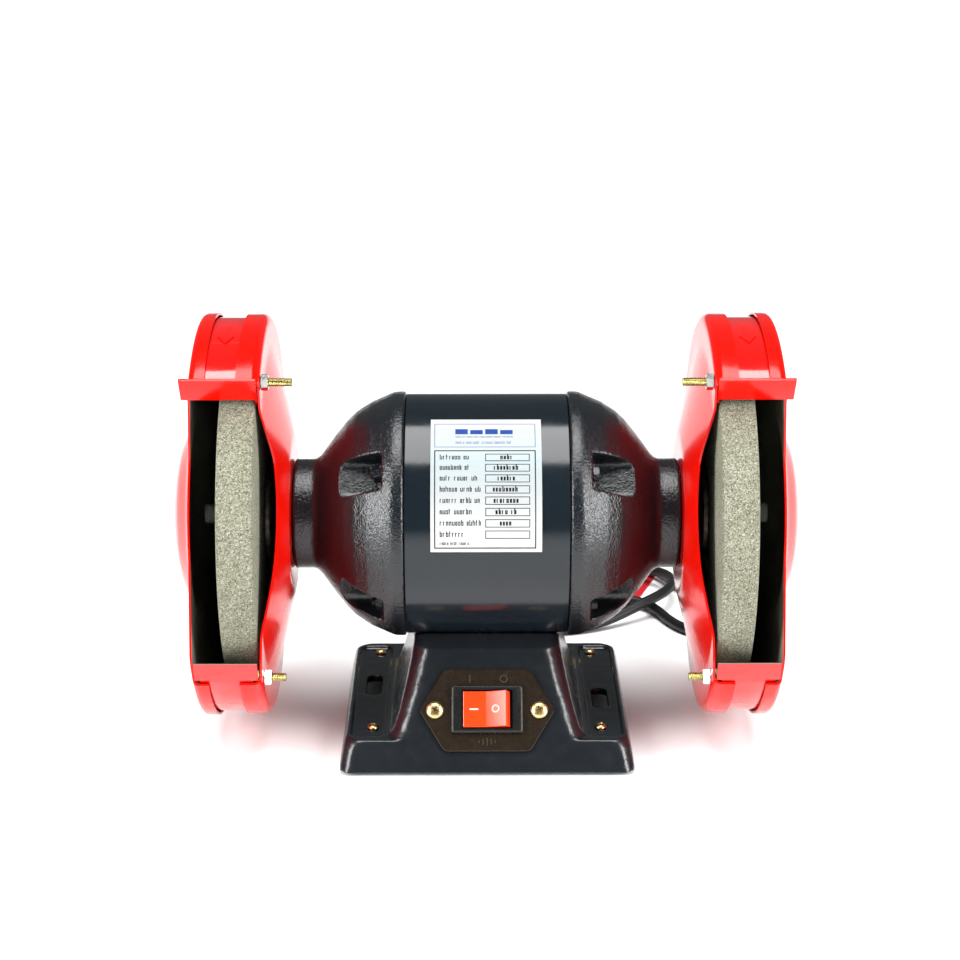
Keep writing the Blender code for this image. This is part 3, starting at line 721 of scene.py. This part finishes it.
def build_tie():
    """A strap round the crossing strands, with its end pressed back on itself."""
    strap = [(-4, 0.1), (71, 0.1), (77.5, 1.8), (80.8, 5.4), (77.5, 9.6), (71, 10.6), (63, 10.8)]
    under = [(63, 9.7), (70.8, 9.5), (76.4, 8.5), (79.6, 5.4), (76.4, 2.7), (70.8, 1.2), (-4, 1.2)]
    lie = upright(98, 200, 0) @ spin("Z", 72) @ spin("X", 90)
    tie = slab("lead_tie", eased(strap + under, 2.2, 5), -4, 4, lie)
    paint(smooth(bevel(tie, 0.3, 2, 60), 40), TIE_RED)
    return fixed(tie, "tie_red", "cord_tie")


def gland_way():
    """Local +Z runs out of the pedestal's back where the lead leaves it."""
    return upright(GLAND_X, 0, GLAND_Z) @ spin("X", -90)


def build_gland():
    """The strain relief, ribbed where it bends."""
    outline = [(0, 50), (6.3, 50), (6.3, 63.8), (9.3, 63.8)]
    outline += [(9.5, 64.4), (9.5, 65.8), (9.1, 66.6), (7.3, 66.7)]
    for i in range(7):
        s = 70 + i * 4.2
        r = 7.2 - (s - 66.6) * 0.075
        outline += [(r, s), (r, s + 2.4), (r - 1.3, s + 2.7), (r - 1.3, s + 3.9)]
    outline += [(4.7, 100), (4.3, 100.5), (0, 100.5)]
    gland = turned("strain_relief", outline, gland_way(), 48)
    smooth(paint(gland, CORD_BLACK), 40)
    fixed(gland, "cord_black", "cable_gland")


plug = build_plug()
tie = build_tie()
build_gland()
build_cord()


# Fasteners

def threaded(name, radius, depth, pitch, low, high, place, around=32):
    """A rod with a helical thread and a tapered start at its high end."""
    work = bmesh.new()
    count = max(4, round((high - low) / pitch * 6))
    rings = []
    for k in range(count + 1):
        s = low + (high - low) * k / count
        radii = []
        for i in range(around):
            phase = (s / pitch - i / around) % 1
            r = radius - depth * min(1, 2.2 * abs(phase - 0.5))
            radii.append(min(r, radius - depth + (high - s) * 0.9))
        rings.append(ring_of(work, radii, s))
    walls(work, rings)
    caps(work, rings)
    return smooth(add_mesh(name, work, place), 50)


def hexagon(name, radius, low, high, place, bore=0, turn=0):
    """A hexagon with the round chamfers that a nut's or a bolt head's corners have."""
    spot = place @ spin("Z", turn)
    body = prism(name, 6, radius, low, high, spot)
    flat = radius * 0.866 * 0.97
    fall = (radius - flat) * 0.55
    rim = radius + 0.1
    limit = [(0, low), (flat, low), (rim, low + fall), (rim, high - fall), (flat, high), (0, high)]
    combine(body, "INTERSECT", [turned("limit", limit, spot, 48)])
    if bore:
        wide = bore + 0.9
        ream = [(0, low - 1), (wide, low - 0.4), (bore, low + 0.5)]
        ream += [(bore, high - 0.5), (wide, high + 0.4), (0, high + 1)]
        cut(body, turned("ream", ream, spot, 32))
    return smooth(body, 25)


def cross_head(name, profile, place, reach, width, depth, turn=20):
    """A round screw head with a cross recess that tapers towards its bottom."""
    head = turned(name, profile, place, 48)
    top = max(s for _, s in profile)
    for quarter in (0, 90):
        spot = place @ spin("Z", turn + quarter)
        wide = round_corners((-reach, -width), (reach, width), width * 0.5, 3)
        slim = [(x * 0.45, y * 0.75) for x, y in wide]
        cut(head, loft("recess", [(top - depth, slim), (top + 0.2, wide)], spot))
    return smooth(head, 40)


# Guards

def offset_line(line, thick, towards):
    """The open line moved sideways by thick, to the side that the point is on."""
    points = [Vector(p) for p in line]
    normals = []
    for a, b in zip(points, points[1:]):
        along = (b - a).normalized()
        normals.append(Vector((-along.y, along.x)))
    middle = points[len(points) // 2]
    sign = 1 if (Vector(towards) - middle).dot(normals[len(normals) // 2]) > 0 else -1
    moved = []
    for i, point in enumerate(points):
        before = normals[max(0, i - 1)]
        after = normals[min(i, len(normals) - 1)]
        mean = (before + after).normalized()
        moved.append(tuple(point + mean * sign * thick / max(0.5, mean.dot(after))))
    return moved


WHEEL_MIDDLE = 137.5
SHEET = 1.2
BAND_RADIUS = 114.6
BAND_TOP = 55  # degrees, where the arrestor sits
BAND_LOW = 323.5
GUARD_SCREWS = 108.5  # from the shaft's line
# Angle, and where the head starts and the rod ends along the shaft.
GUARD_BOLTS = {"top": (59, 127.6, 107.2), "low": (-40, 127.1, 112.4)}
HEX = 4.62  # to a corner of the small nuts and heads


def divided(line, longest):
    """The open line with points added so that no stretch of it is longer than this."""
    points = [line[0]]
    for a, b in zip(line, line[1:]):
        count = math.ceil(math.dist(a, b) / longest)
        for k in range(1, count + 1):
            points.append((a[0] + (b[0] - a[0]) * k / count, a[1] + (b[1] - a[1]) * k / count))
    return points


def shell(name, line, bend, place):
    """Pressed sheet of one thickness, turned about the shaft."""
    outer = divided(eased(line, bend, 6, closed=False), 4)
    inner = offset_line(outer, SHEET, (50, WHEEL_MIDDLE))
    return turned(name, outer + inner[::-1], place, 144)


def guard_mouth(side, top_notch):
    edge = [on_circle(top_notch, BAND_TOP), (-52, 48), (-71, -12.5), on_circle(112.3, -31)]
    edge += [on_circle(112.8, -37.5), on_circle(145, -37.5)]
    outline = [on_circle(145, BAND_TOP)] + eased(edge, 7, 6, closed=False) + [(-210, 0)]
    return slab("mouth", outline, *span(side, 105, 190), side_view())


def paint_sheet(thing, outside, side):
    """Gives the faces that look at the wheel the inside's finish."""
    mesh = paint(thing, outside).data
    mesh.materials.append(INSIDE)
    axis = upright(0, 0, AXIS_HEIGHT).translation
    for face in mesh.polygons:
        centre = face.center - axis
        target = Vector((side * WHEEL_MIDDLE * MM, centre.y * 0.6, centre.z * 0.6))
        way = (target - centre).normalized()
        face.material_index = 1 if face.normal.dot(way) > 0.35 else 0
    return smooth(thing, 30)


def arrow_mark(side):
    """A plain pressed arrow that shows which way the wheel turns, on the band's top."""
    stretches = [(76.5, 84.5, 1, 8)]
    for k in range(5):
        first = 72.9 + k * 0.85
        stretches.append((first, first + 0.9, 0.6 + k * 1, 2))
    pieces = []
    middle = side * 146
    for first, last, half, count in stretches:
        ring = arc(BAND_RADIUS + 0.55, first, last, count) + arc(BAND_RADIUS - 0.4, last, first, count)
        pieces.append(slab("mark", ring, middle - half, middle + half, side_view()))
    return pieces


def build_guard(name, side):
    line = along_shaft(side)
    dish = [(116.5, 137.6), (116.5, 127.6), (113, 124.5), (98, 124.5), (46, 111.8), (13, 111.8)]
    inner = shell(f"guard_dish_{name}", dish, 3.2, line)
    cut(inner, guard_mouth(side, 112))
    for angle, _, _ in GUARD_BOLTS.values():
        spot = radial(angle) @ shift(GUARD_SCREWS, 0, 0)
        cut(inner, prism("hole", 24, 2.8, *span(side, 118, 132), spot))
    paint_sheet(inner, RED, side)
    fixed(inner, "red_enamel", f"guard_inner_{name}")

    lid = [(0, 180.4), (26, 179.4), (41, 175.8), (57, 168.2)]
    lid += [(66, 166.6), (110, 164.4), (117, 163), (117, 154.6)]
    cover = shell(f"guard_lid_{name}", lid, 5, line)
    cut(cover, guard_mouth(side, 99.5))
    paint_sheet(cover, RED, side)
    fixed(cover, "red_enamel", f"guard_cover_{name}")

    strip = arc(BAND_RADIUS, BAND_TOP, BAND_LOW, 120) + arc(BAND_RADIUS - SHEET, BAND_LOW, BAND_TOP, 120)
    band = slab(f"guard_strip_{name}", strip, *span(side, 130, 159.8), side_view())
    root_y, root_z = on_circle(BAND_RADIUS, BAND_LOW)
    lip = [(root_y, root_z), (root_y + 1.6, root_z), (-94.8, -57.2), (-96.1, -57.2)]
    join(band, slab("lip", lip, *span(side, 127.2, 162.4), side_view()))
    for mark in arrow_mark(side):
        join(band, mark)
    # The band's lighter copy of the red enamel paints light onto it.
    paint_sheet(band, RED_BAND_LIT, side)
    fixed(band, "red_enamel", f"guard_band_{name}")

    for place, (angle, head, tip) in GUARD_BOLTS.items():
        spot = radial(angle) @ shift(GUARD_SCREWS, 0, 0) @ spin("X", 180 if side > 0 else 0)
        rod = threaded(f"guard_screw_{place}_{name}", 2.5, 0.5, 1, -head - 1, -tip, spot)
        merge(rod, hexagon("head", HEX, -head - 2.8, -head, spot, turn=8))
        paint(rod, ZINC)
        fixed(rod, "yellow_zinc", f"guard_bolt_{place}_{name}")
        nut = hexagon(f"guard_hex_{place}_{name}", HEX, -124.2, -120.2, spot, 2.5, turn=(angle - 22) * side)
        paint(nut, NUT_STEEL)
        fixed(nut, "bright_steel", f"guard_nut_{place}_{name}")


def build_arrestor(name, side):
    """A plate across the band's top edge, with a slotted tab that hangs on the guard's top screw."""
    here = radial(BAND_TOP)
    line = [(104.4, 0.3), (120.4, 0.3), (120.4, 2.1), (104.4, 2.1)]
    plate = slab(f"spark_plate_{name}", line, *span(side, 126.2, 168), here)
    turn = math.radians(4)
    bolt_r, bolt_t, slot = GUARD_SCREWS * math.cos(turn), -GUARD_SCREWS * math.sin(turn), 2.8
    foot = bolt_r - slot - 0.4
    tab = [
        (101.2, 1.5), (101.2, -15), (110.6, -15), (110.6, bolt_t - slot), (foot, bolt_t - slot),
        (foot, bolt_t + slot), (110.6, bolt_t + slot), (110.6, 1.5),
    ]
    join(plate, slab("tab", tab, *span(side, 126.1, 127.3), here))
    smooth(paint(bevel(plate, 0.35, 3, 40), RED), 40)
    place_piece(plate, f"arrestor_{name}", "red_enamel", f"spark_arrestor_{name}")


both_sides(build_guard)
both_sides(build_arrestor)


# Rotor

def build_wheel(name, side):
    line = along_shaft(side)
    near, far = 127.5, 147.5
    outline = [(16, near), (99, near), (99.7, near + 0.35), (100, near + 1.1)]
    outline += [(100, near + 1.1 + (17.8 * k) / 8) for k in range(1, 8)]
    outline += [(100, far - 1.1), (99.7, far - 0.35), (99, far), (60, far), (16, far)]
    wheel = turned(f"abrasive_wheel_{name}", outline, line, 192)
    axis = line.translation
    for vertex in wheel.data.vertices:
        out = vertex.co - axis
        out.x = 0
        if out.length > 0.0985:
            rough = noise.noise(vertex.co * 420) * 0.22 + noise.noise(vertex.co * 90) * 0.16
            vertex.co -= out.normalized() * max(0, 0.16 + rough) * MM
    paint(smooth(wheel, 40), GRIT)
    place_piece(wheel, "rotor", "grinding_grit", f"grinding_wheel_{name}")

    inner = [
        (15.7, far - 1.5), (15.7, near - 0.3), (29.5, near - 0.3), (30, near - 0.9),
        (30, near - 3), (29.2, near - 3.7), (27, near - 4.1), (16.5, near - 4.6),
        (14.8, near - 5.4), (14.5, near - 6.6), (14.5, 115), (13.9, 114.4), (6.3, 114.4),
        (6.3, far - 1.5),
    ]
    hub = turned(f"inner_collar_{name}", inner, line, 72)
    place_piece(smooth(paint(hub, FLANGE), 30), "rotor", "flange_steel", f"inner_flange_{name}")
    outer = [(6.3, 3.4), (17, 3.4), (19, 3), (28.2, 2.6), (29.6, 2.1), (30, 1.2), (30, 0.3), (6.3, 0.3)]
    outer = [(r, far + s) for r, s in outer]
    washer = turned(f"outer_collar_{name}", outer, line, 72)
    place_piece(smooth(paint(washer, FLANGE), 30), "rotor", "flange_steel", f"outer_flange_{name}")
    low = far + 3.7
    nut = hexagon(f"arbor_nut_{name}", 10.4, low, low + 6.2, line, 6.3, 11)
    place_piece(paint(nut, NUT_DULL), "rotor", "bright_steel", f"wheel_nut_{name}")


def build_shaft():
    half = [(5.7, 147), (6, 146.6), (6, 114), (8, 114), (8.6, 113.4), (8.6, 86), (12, 78)]
    outline = [(0, 147)] + half + [(r, -s) for r, s in reversed(half)] + [(0, -147)]
    shaft = turned("arbor", outline, along_shaft(1), 48)
    paint(smooth(shaft, 35), SHAFT_STEEL)
    for side in (-1, 1):
        thread = threaded("thread", 6, 0.75, 1.75, 146.5, 164.2, along_shaft(side), 40)
        merge(shaft, paint(thread, NUT_DULL))
    place_piece(shaft, "rotor", "bright_steel", "shaft")


both_sides(build_wheel)
build_shaft()


# Motor

TIE_ANGLES = (38, 142, 218, 322)
TIE_RADIUS = 61
WIRE_WAY = (-15, 8)  # x and y of the hole for the motor's wires


def lumps(thing, height, scale):
    """Moves the vertices a little along their normals, as sand-cast metal under paint is uneven."""
    mesh = thing.data
    moved = []
    for vertex in mesh.vertices:
        rise = noise.fractal(vertex.co * scale, 0.9, 2.1, 3) * height * MM
        moved.append(vertex.co + vertex.normal * min(rise, height * MM * 0.6))
    for vertex, place in zip(mesh.vertices, moved):
        vertex.co = place
    mesh.update()
    return thing


def build_bell(name, side):
    outside = [
        (10, 111.5), (31.2, 111.5), (32, 110.7), (32, 99.5), (34, 96.6), (37.5, 94),
        (45.7, 88), (55, 80.5), (59.9, 75.3), (65.2, 67), (68.4, 59.6), (70.2, 55.6), (71.1, 53.2),
        (71.3, 51), (71.3, 47.3), (70.8, 46.7), (10, 46.7),
    ]
    bell = turned(f"bell_casting_{name}", eased(outside, 1.2, 3), along_shaft(side), 120)
    inside = [(0, 104.3), (20.1, 104.3), (20.1, 92), (30, 92), (48, 81), (62, 60), (65, 40), (0, 40)]
    hollow = turned("hollow", inside, along_shaft(side), 64)
    for angle in TIE_ANGLES:
        boss = round_corners((46, -15), (90, 15), 2)
        cut(hollow, slab("boss", boss, *span(side, 54, 110), radial(angle)))
    cut(bell, hollow)
    for angle in TIE_ANGLES:
        spot = radial(angle)
        pocket = round_corners((51, -11), (95, 11), 4)
        cut(bell, slab("pocket", pocket, *span(side, 59, 100), spot))
        cut(bell, prism("hole", 24, 2.9, *span(side, 40, 70), spot @ shift(TIE_RADIUS, 0, 0)))
    cast(bell, 0.9, 2)
    lumps(bell, 0.1, 420)
    paint(bell, NAVY_CAST)
    fixed(bell, "navy_enamel", f"end_bell_{name}")


def build_drum():
    ring = [
        (70, 45.9), (69.6, 46.4), (68, 46.4), (68, -46.4), (69.6, -46.4), (70, -45.9),
        (70, -30), (70, 0), (70, 30),
    ]
    drum = turned("drum_shell", ring, along_shaft(1), 160)
    cut(drum, prism("wire_hole", 32, 8, 50, 75, upright(*WIRE_WAY, 0)))
    smooth(paint(drum, NAVY), 30)
    fixed(drum, "navy_enamel", "motor_drum")


def build_tie_bolts():
    for number, angle in enumerate(TIE_ANGLES, 1):
        spot = radial(angle) @ shift(TIE_RADIUS, 0, 0)
        rod = prism(f"through_bolt_{number}", 24, 2.5, -60, 60, spot)
        merge(rod, threaded("end", 2.5, 0.4, 0.8, 59.5, 65.3, spot @ spin("X", 180)))
        merge(rod, hexagon("head", HEX, 59.3, 62.8, spot, turn=20))
        merge(rod, hexagon("nut", HEX, -63.3, -59.3, spot, turn=40))
        fixed(smooth(paint(rod, NAVY_CAST), 30), "navy_enamel", f"tie_bolt_{number}")


PLATE_R = 70.8
# Where each row's words end, and half the width of the print in its box.
PLATE_ROWS = (
    (-8, 4), (-8.2, 7.6), (-4.6, 5.6), (-2.2, 8.2), (-2.2, 7.8), (-5, 6.8), (-2.2, 4.4),
    (-10.5, None),
)


def on_plate(x, up, rise=0):
    """A point on the data plate: x across it from its middle and up along its curve from its middle."""
    angle = 32.6 + math.degrees(up / PLATE_R)
    y, z = on_circle(PLATE_R + rise, angle)
    return metres((x - 0.6, AXIS_BACK + y, AXIS_HEIGHT + z))


def ink(work, low, high, rise=0.05):
    """A printed rectangle that follows the plate's curve."""
    rows = max(1, math.ceil((high[1] - low[1]) / 2))
    rings = []
    for k in range(rows + 1):
        up = low[1] + (high[1] - low[1]) * k / rows
        corners = [(low[0], 0), (high[0], 0), (high[0], rise), (low[0], rise)]
        rings.append([work.verts.new(on_plate(x, up, lift)) for x, lift in corners])
    walls(work, rings)
    caps(work, rings)


def ink_frame(work, low, high, line):
    ink(work, low, (high[0], low[1] + line))
    ink(work, (low[0], high[1] - line), high)
    ink(work, (low[0], low[1] + line), (low[0] + line, high[1] - line))
    ink(work, (high[0] - line, low[1] + line), (high[0], high[1] - line))


def mock_words(work, dice, left, right, base, height, stroke):
    """Strokes set like a line of small print, which spell nothing."""
    x = left
    letters = dice.randint(4, 8)
    while x < right - height * 0.5:
        top = base + height * 0.72
        width = height * dice.uniform(0.34, 0.46)
        tall = height * dice.choice((0.72, 0.72, 0.72, 1))
        ink(work, (x, base), (x + stroke, base + tall))
        shape = dice.randint(0, 3)
        if shape != 1:
            ink(work, (x + width - stroke, base), (x + width, top))
        if shape in (0, 3):
            ink(work, (x + stroke, base), (x + width - stroke, base + stroke))
        if shape != 3:
            ink(work, (x + stroke, top - stroke), (x + width - stroke, top))
        x += width + stroke * 0.95
        letters -= 1
        if letters == 0:
            letters = dice.randint(3, 8)
            x += height * 0.45


def build_data_plate():
    inner = 70.3
    outline = arc(PLATE_R, -0.4, 65.6, 64) + arc(inner, 65.6, -0.4, 64)
    plate = slab("rating_plate", outline, -31.6, 30.4, side_view())
    paint(smooth(plate, 30), LABEL)
    dice = random.Random(11)
    black, blue, pale = bmesh.new(), bmesh.new(), bmesh.new()
    ink_frame(black, (-28.9, -38.7), (27.7, 17.9), 0.6)
    ink_frame(pale, (-28.9, 19.9), (27.7, 37), 0.36)
    for row, (right, half) in enumerate(PLATE_ROWS):
        middle = 13.4 - row * 6.3
        mock_words(black, dice, -25.8, right, middle - 1.3, 3.1, 0.44)
        ink_frame(black, (-0.5, middle - 2.35), (24.3, middle + 2.2), 0.4)
        if half:
            mock_words(black, dice, 11.9 - half, 11.9 + half, middle - 1.3, 3.1, 0.6)
    mock_words(black, dice, -25.8, -8.8, -36.6, 1.9, 0.26)
    for k in range(4):
        ink(blue, (-17.2 + k * 8.4, 29), (-17.2 + k * 8.4 + 7, 32.8 - 0.7 * (k % 2)))
    mock_words(pale, dice, -17, 15.5, 26.6, 1.1, 0.2)
    mock_words(pale, dice, -17, 15.5, 22.2, 2, 0.2)
    for work, material in ((black, INK_BLACK), (blue, INK_BLUE), (pale, INK_PALE)):
        merge(plate, paint(add_mesh("print", work, Matrix()), material))
    fixed(plate, "label_silver", "data_plate")


both_sides(build_bell)
build_drum()
build_tie_bolts()
build_data_plate()


# Base

RIM_HEIGHT = 2
FRONT_FOOT = -80
FOOT_X, FOOT_ROWS = 66, (("front", -46), ("rear", 74))
SWITCH_SCREW_X = 29.8
PANEL_SLANT = math.radians(33)
PANEL_HEIGHT = 32.3


def front_edge(z):
    return FRONT_FOOT + (z - RIM_HEIGHT) * math.tan(PANEL_SLANT)


def panel():
    """On the front face at the switch: local Y runs up the slope and local Z out of it."""
    turn = Matrix.Rotation(math.pi / 2 - PANEL_SLANT, 4, "X")
    return upright(0, front_edge(PANEL_HEIGHT), PANEL_HEIGHT) @ turn


def level_outline(z, half, back, corner):
    return z, round_corners((-half, front_edge(z)), (half, back), corner, 8)


def build_base():
    ground = upright(0, 0, 0)
    tray = ((2, 84.5, 92, 7), (14, 82.3, 89, 8), (16.8, 81.4, 87.8, 9), (18, 79.8, 86, 9))
    casting = loft("base_shell", [level_outline(*level) for level in tray], ground)
    sloped = (
        (18.2, 56, 64, 9), (22, 53.5, 62.5, 9), (30, 50.6, 60, 9), (42, 47.2, 56, 10),
        (54, 44.4, 51.5, 11), (63, 42.6, 47.5, 12),
    )
    stem = [
        (12, round_corners((-57, -68), (57, 65), 12, 8)),
        *(level_outline(*level) for level in sloped),
        (69, round_corners((-41.6, -33.5), (41.6, 42), 12, 8)),
        (74, round_corners((-41, -24), (41, 34), 12, 8)),
    ]
    join(casting, loft("stem", stem, ground))
    hollow = [
        (1, round_corners((-80, -74.5), (80, 87), 5)),
        (12, round_corners((-78.5, -68), (78.5, 84), 5)),
    ]
    chamber = [
        (11, round_corners((-51, -66), (51, 58.5), 8)),
        (22, round_corners((-47.5, -60.5), (47.5, 56.5), 8)),
        (42, round_corners((-41.5, -47.5), (41.5, 50), 8)),
        (56, round_corners((-38.5, -38.4), (38.5, 44.5), 8)),
    ]
    cut(
        casting,
        prism("saddle", 128, 70.3, -60, 60, along_shaft(1)),
        loft("tray_hollow", hollow, ground),
        loft("stem_hollow", chamber, ground),
    )
    for name, side in SIDES.items():
        edges = span(side, 58.5, 78.5)
        recess = round_corners((edges[0], -63), (edges[1], 81), 5)
        x, y = side * 68, {"left": 20, "right": -2}[name]
        slot = round_corners((x - 4.5, y - 15), (x + 4.5, y + 15), 4.4)
        cut(casting, slab("recess", recess, 16, 22, ground), slab("slot", slot, 5, 20, ground))
        for _, y in FOOT_ROWS:
            cut(casting, prism("hole", 24, 2.8, 5, 20, upright(side * FOOT_X, y, 0)))
        cut(casting, prism("hole", 24, 2.2, -12, 4, panel() @ shift(side * SWITCH_SCREW_X, 0, 0)))
    cut(
        casting,
        slab("opening", round_corners((-17.3, -13.3), (17.3, 13.3), 1), -12, 3, panel()),
        prism("hole", 32, 6.8, 45, 75, gland_way()),
        prism("hole", 32, 8, 50, 70, upright(*WIRE_WAY, 0)),
    )
    cast(casting, 1, 5)
    lumps(casting, 0.12, 150)
    paint(casting, NAVY_BASE)
    casting.data.materials.append(NAVY)
    # Painted shade: upward faces in the feet's recesses take the drum's darker navy, though the whole
    # casting wears one paint.
    middle = (AXIS_BACK + 9) * MM
    for face in casting.data.polygons:
        x, y, z = face.center
        in_recess = 58 * MM < abs(x) < 79 * MM and abs(y - middle) < 72.5 * MM and z < 17.3 * MM
        if in_recess and face.normal.z > 0.3:
            face.material_index = 1
    fixed(casting, "navy_enamel", "base_casting")


def build_feet():
    foot = [(0, 5), (2.6, 5), (2.6, 11.7), (8.9, 11.7), (9.2, 11.3), (9, 8.4)]
    foot += [(8.7, 8.1), (8.8, 5), (8.5, 1.4), (7.9, 0.3), (7.2, 0), (0, 0)]
    head = [(0, 18.4), (1.4, 18.3), (2.5, 17.8), (3.2, 17.1), (3.5, 16.6), (3.45, 16.3), (0, 16.3)]
    for name, side in SIDES.items():
        for place, y in FOOT_ROWS:
            spot = upright(side * FOOT_X, y, 0)
            pad = smooth(turned(f"foot_pad_{place}_{name}", foot, spot, 48), 35)
            fixed(paint(pad, RUBBER), "foot_rubber", f"rubber_foot_{place}_{name}")
            screw = cross_head(f"foot_fixing_{place}_{name}", head, spot, 2, 0.5, 1.2, 12 + y)
            merge(screw, threaded("shank", 2.1, 0.35, 0.8, -16.6, -6, spot @ spin("X", 180)))
            fixed(paint(screw, BRASS), "brass", f"foot_screw_{place}_{name}")


def build_switch():
    place = panel()
    hexagon_line = [(38.8, 0), (24.5, 23.7), (-24.5, 23.7), (-38.8, 0), (-24.5, -23.7), (24.5, -23.7)]
    outline = eased(hexagon_line, 2.6, 7)
    plate = slab("panel_plate", outline, 0.3, 2.5, place)
    cut(plate, slab("window", round_corners((-16.8, -12.8), (16.8, 12.8), 0.5), -1, 4, place))
    for side in (-1, 1):
        cut(plate, prism("hole", 24, 2.2, -1, 4, place @ shift(side * SWITCH_SCREW_X, 0, 0)))
    bevel(plate, 0.9, 1, 40)
    smooth(paint(plate, PLATE_BLACK), 20)
    # The raised symbols are the plate's own black; their lighter colour is a painted highlight on them.
    marks = [slab("mark", round_corners((-10.4, 15.7), (-9.4, 20.3), 0.3), 2.4, 2.85, place)]
    ring = [(1.6, 2.85), (2.4, 2.85), (2.4, 2.4), (1.6, 2.4)]
    marks.append(turned("mark", ring, place @ shift(9.6, 18, 0), 32))
    for k, tall in enumerate((0.9, 1.7, 2.3, 1.7, 0.9)):
        x = (k - 2) * 2.3
        bar = round_corners((x - 0.35, -18.3 - tall), (x + 0.35, -18.3 + tall), 0.2)
        marks.append(slab("mark", bar, 2.4, 2.8, place))
    for mark in marks:
        merge(plate, paint(mark, RAISED_MARK_HIGHLIGHT))
    fixed(plate, "plate_black", "switch_plate")

    head = [(0, 4.9), (2, 4.8), (3.6, 4.4), (4.7, 3.7), (5.1, 3.1), (5.1, 2.8), (0, 2.8)]
    for name, side in SIDES.items():
        spot = place @ shift(side * SWITCH_SCREW_X, 0, 0)
        screw = cross_head(f"panel_screw_{name}", head, spot, 2.6, 0.5, 1.9, 24 * side)
        merge(screw, threaded("shank", 1.8, 0.3, 0.8, -3, 9, spot @ spin("X", 180)))
        fixed(paint(screw, BRASS), "brass", f"switch_screw_{name}")

    body = slab("switch_case", round_corners((-20.3, -13.5), (20.3, 13.5), 1.2), 2.8, 5.2, place)
    bevel(body, 0.5, 3, 60)
    join(body, slab("box", round_corners((-16.5, -12.5), (16.5, 12.5), 1), -17, 4, place))
    cut(body, slab("mouth", round_corners((-14.5, -11.1), (14.5, 11.1), 0.5), -6.5, 8, place))
    smooth(paint(body, SWITCH_BLACK), 30)
    # Thin pale strips along the bezel's bottom and side edges are painted highlights; the bezel is black
    # there too.
    highlight_lines = ((-19.7, -12.75, 19.7, -12.5), (-19.7, -12.5, -19.3, 12.6), (19.3, -12.5, 19.7, 12.6))
    for line in highlight_lines:
        rim = slab("line", round_corners(line[:2], line[2:], 0.1), 5.1, 5.3, place)
        merge(body, paint(rim, BEZEL_HIGHLIGHT))
    fixed(body, "switch_black", "switch_body")

    pivot = place @ shift(0, 0, 0.2) @ spin("X", 90) @ spin("Z", 10)
    outline = [(0, 5), (12.3, 7.2), (13.6, 2), (9, -3.5), (-9, -3.5), (-13.6, 2), (-12.6, 7.2)]
    rocker = slab("rocker_cap", outline, -10.3, 10.3, pivot)
    bevel(rocker, 0.3, 2, 14)
    smooth(paint(rocker, ROCKER_ON), 12)
    lean = math.atan2(2.2, 12.6)
    top = pivot @ shift(0, 5, 0)
    left, right = (top @ Matrix.Rotation(side * lean, 4, "Z") @ spin("X", -90) for side in (-1, 1))
    bar = slab("mark", round_corners((-9.2, -0.45), (-4, 0.45), 0.3), -0.1, 0.05, left)
    ring = [(1.5, 0.05), (2.3, 0.05), (2.3, -0.1), (1.5, -0.1)]
    ring = turned("mark", ring, right @ shift(6, 0, 0), 32)
    for mark in (bar, ring):
        merge(rocker, paint(mark, MARK_WHITE))
    place_piece(rocker, "rocker", "rocker_red", "switch_rocker")


build_base()
build_feet()
build_switch()
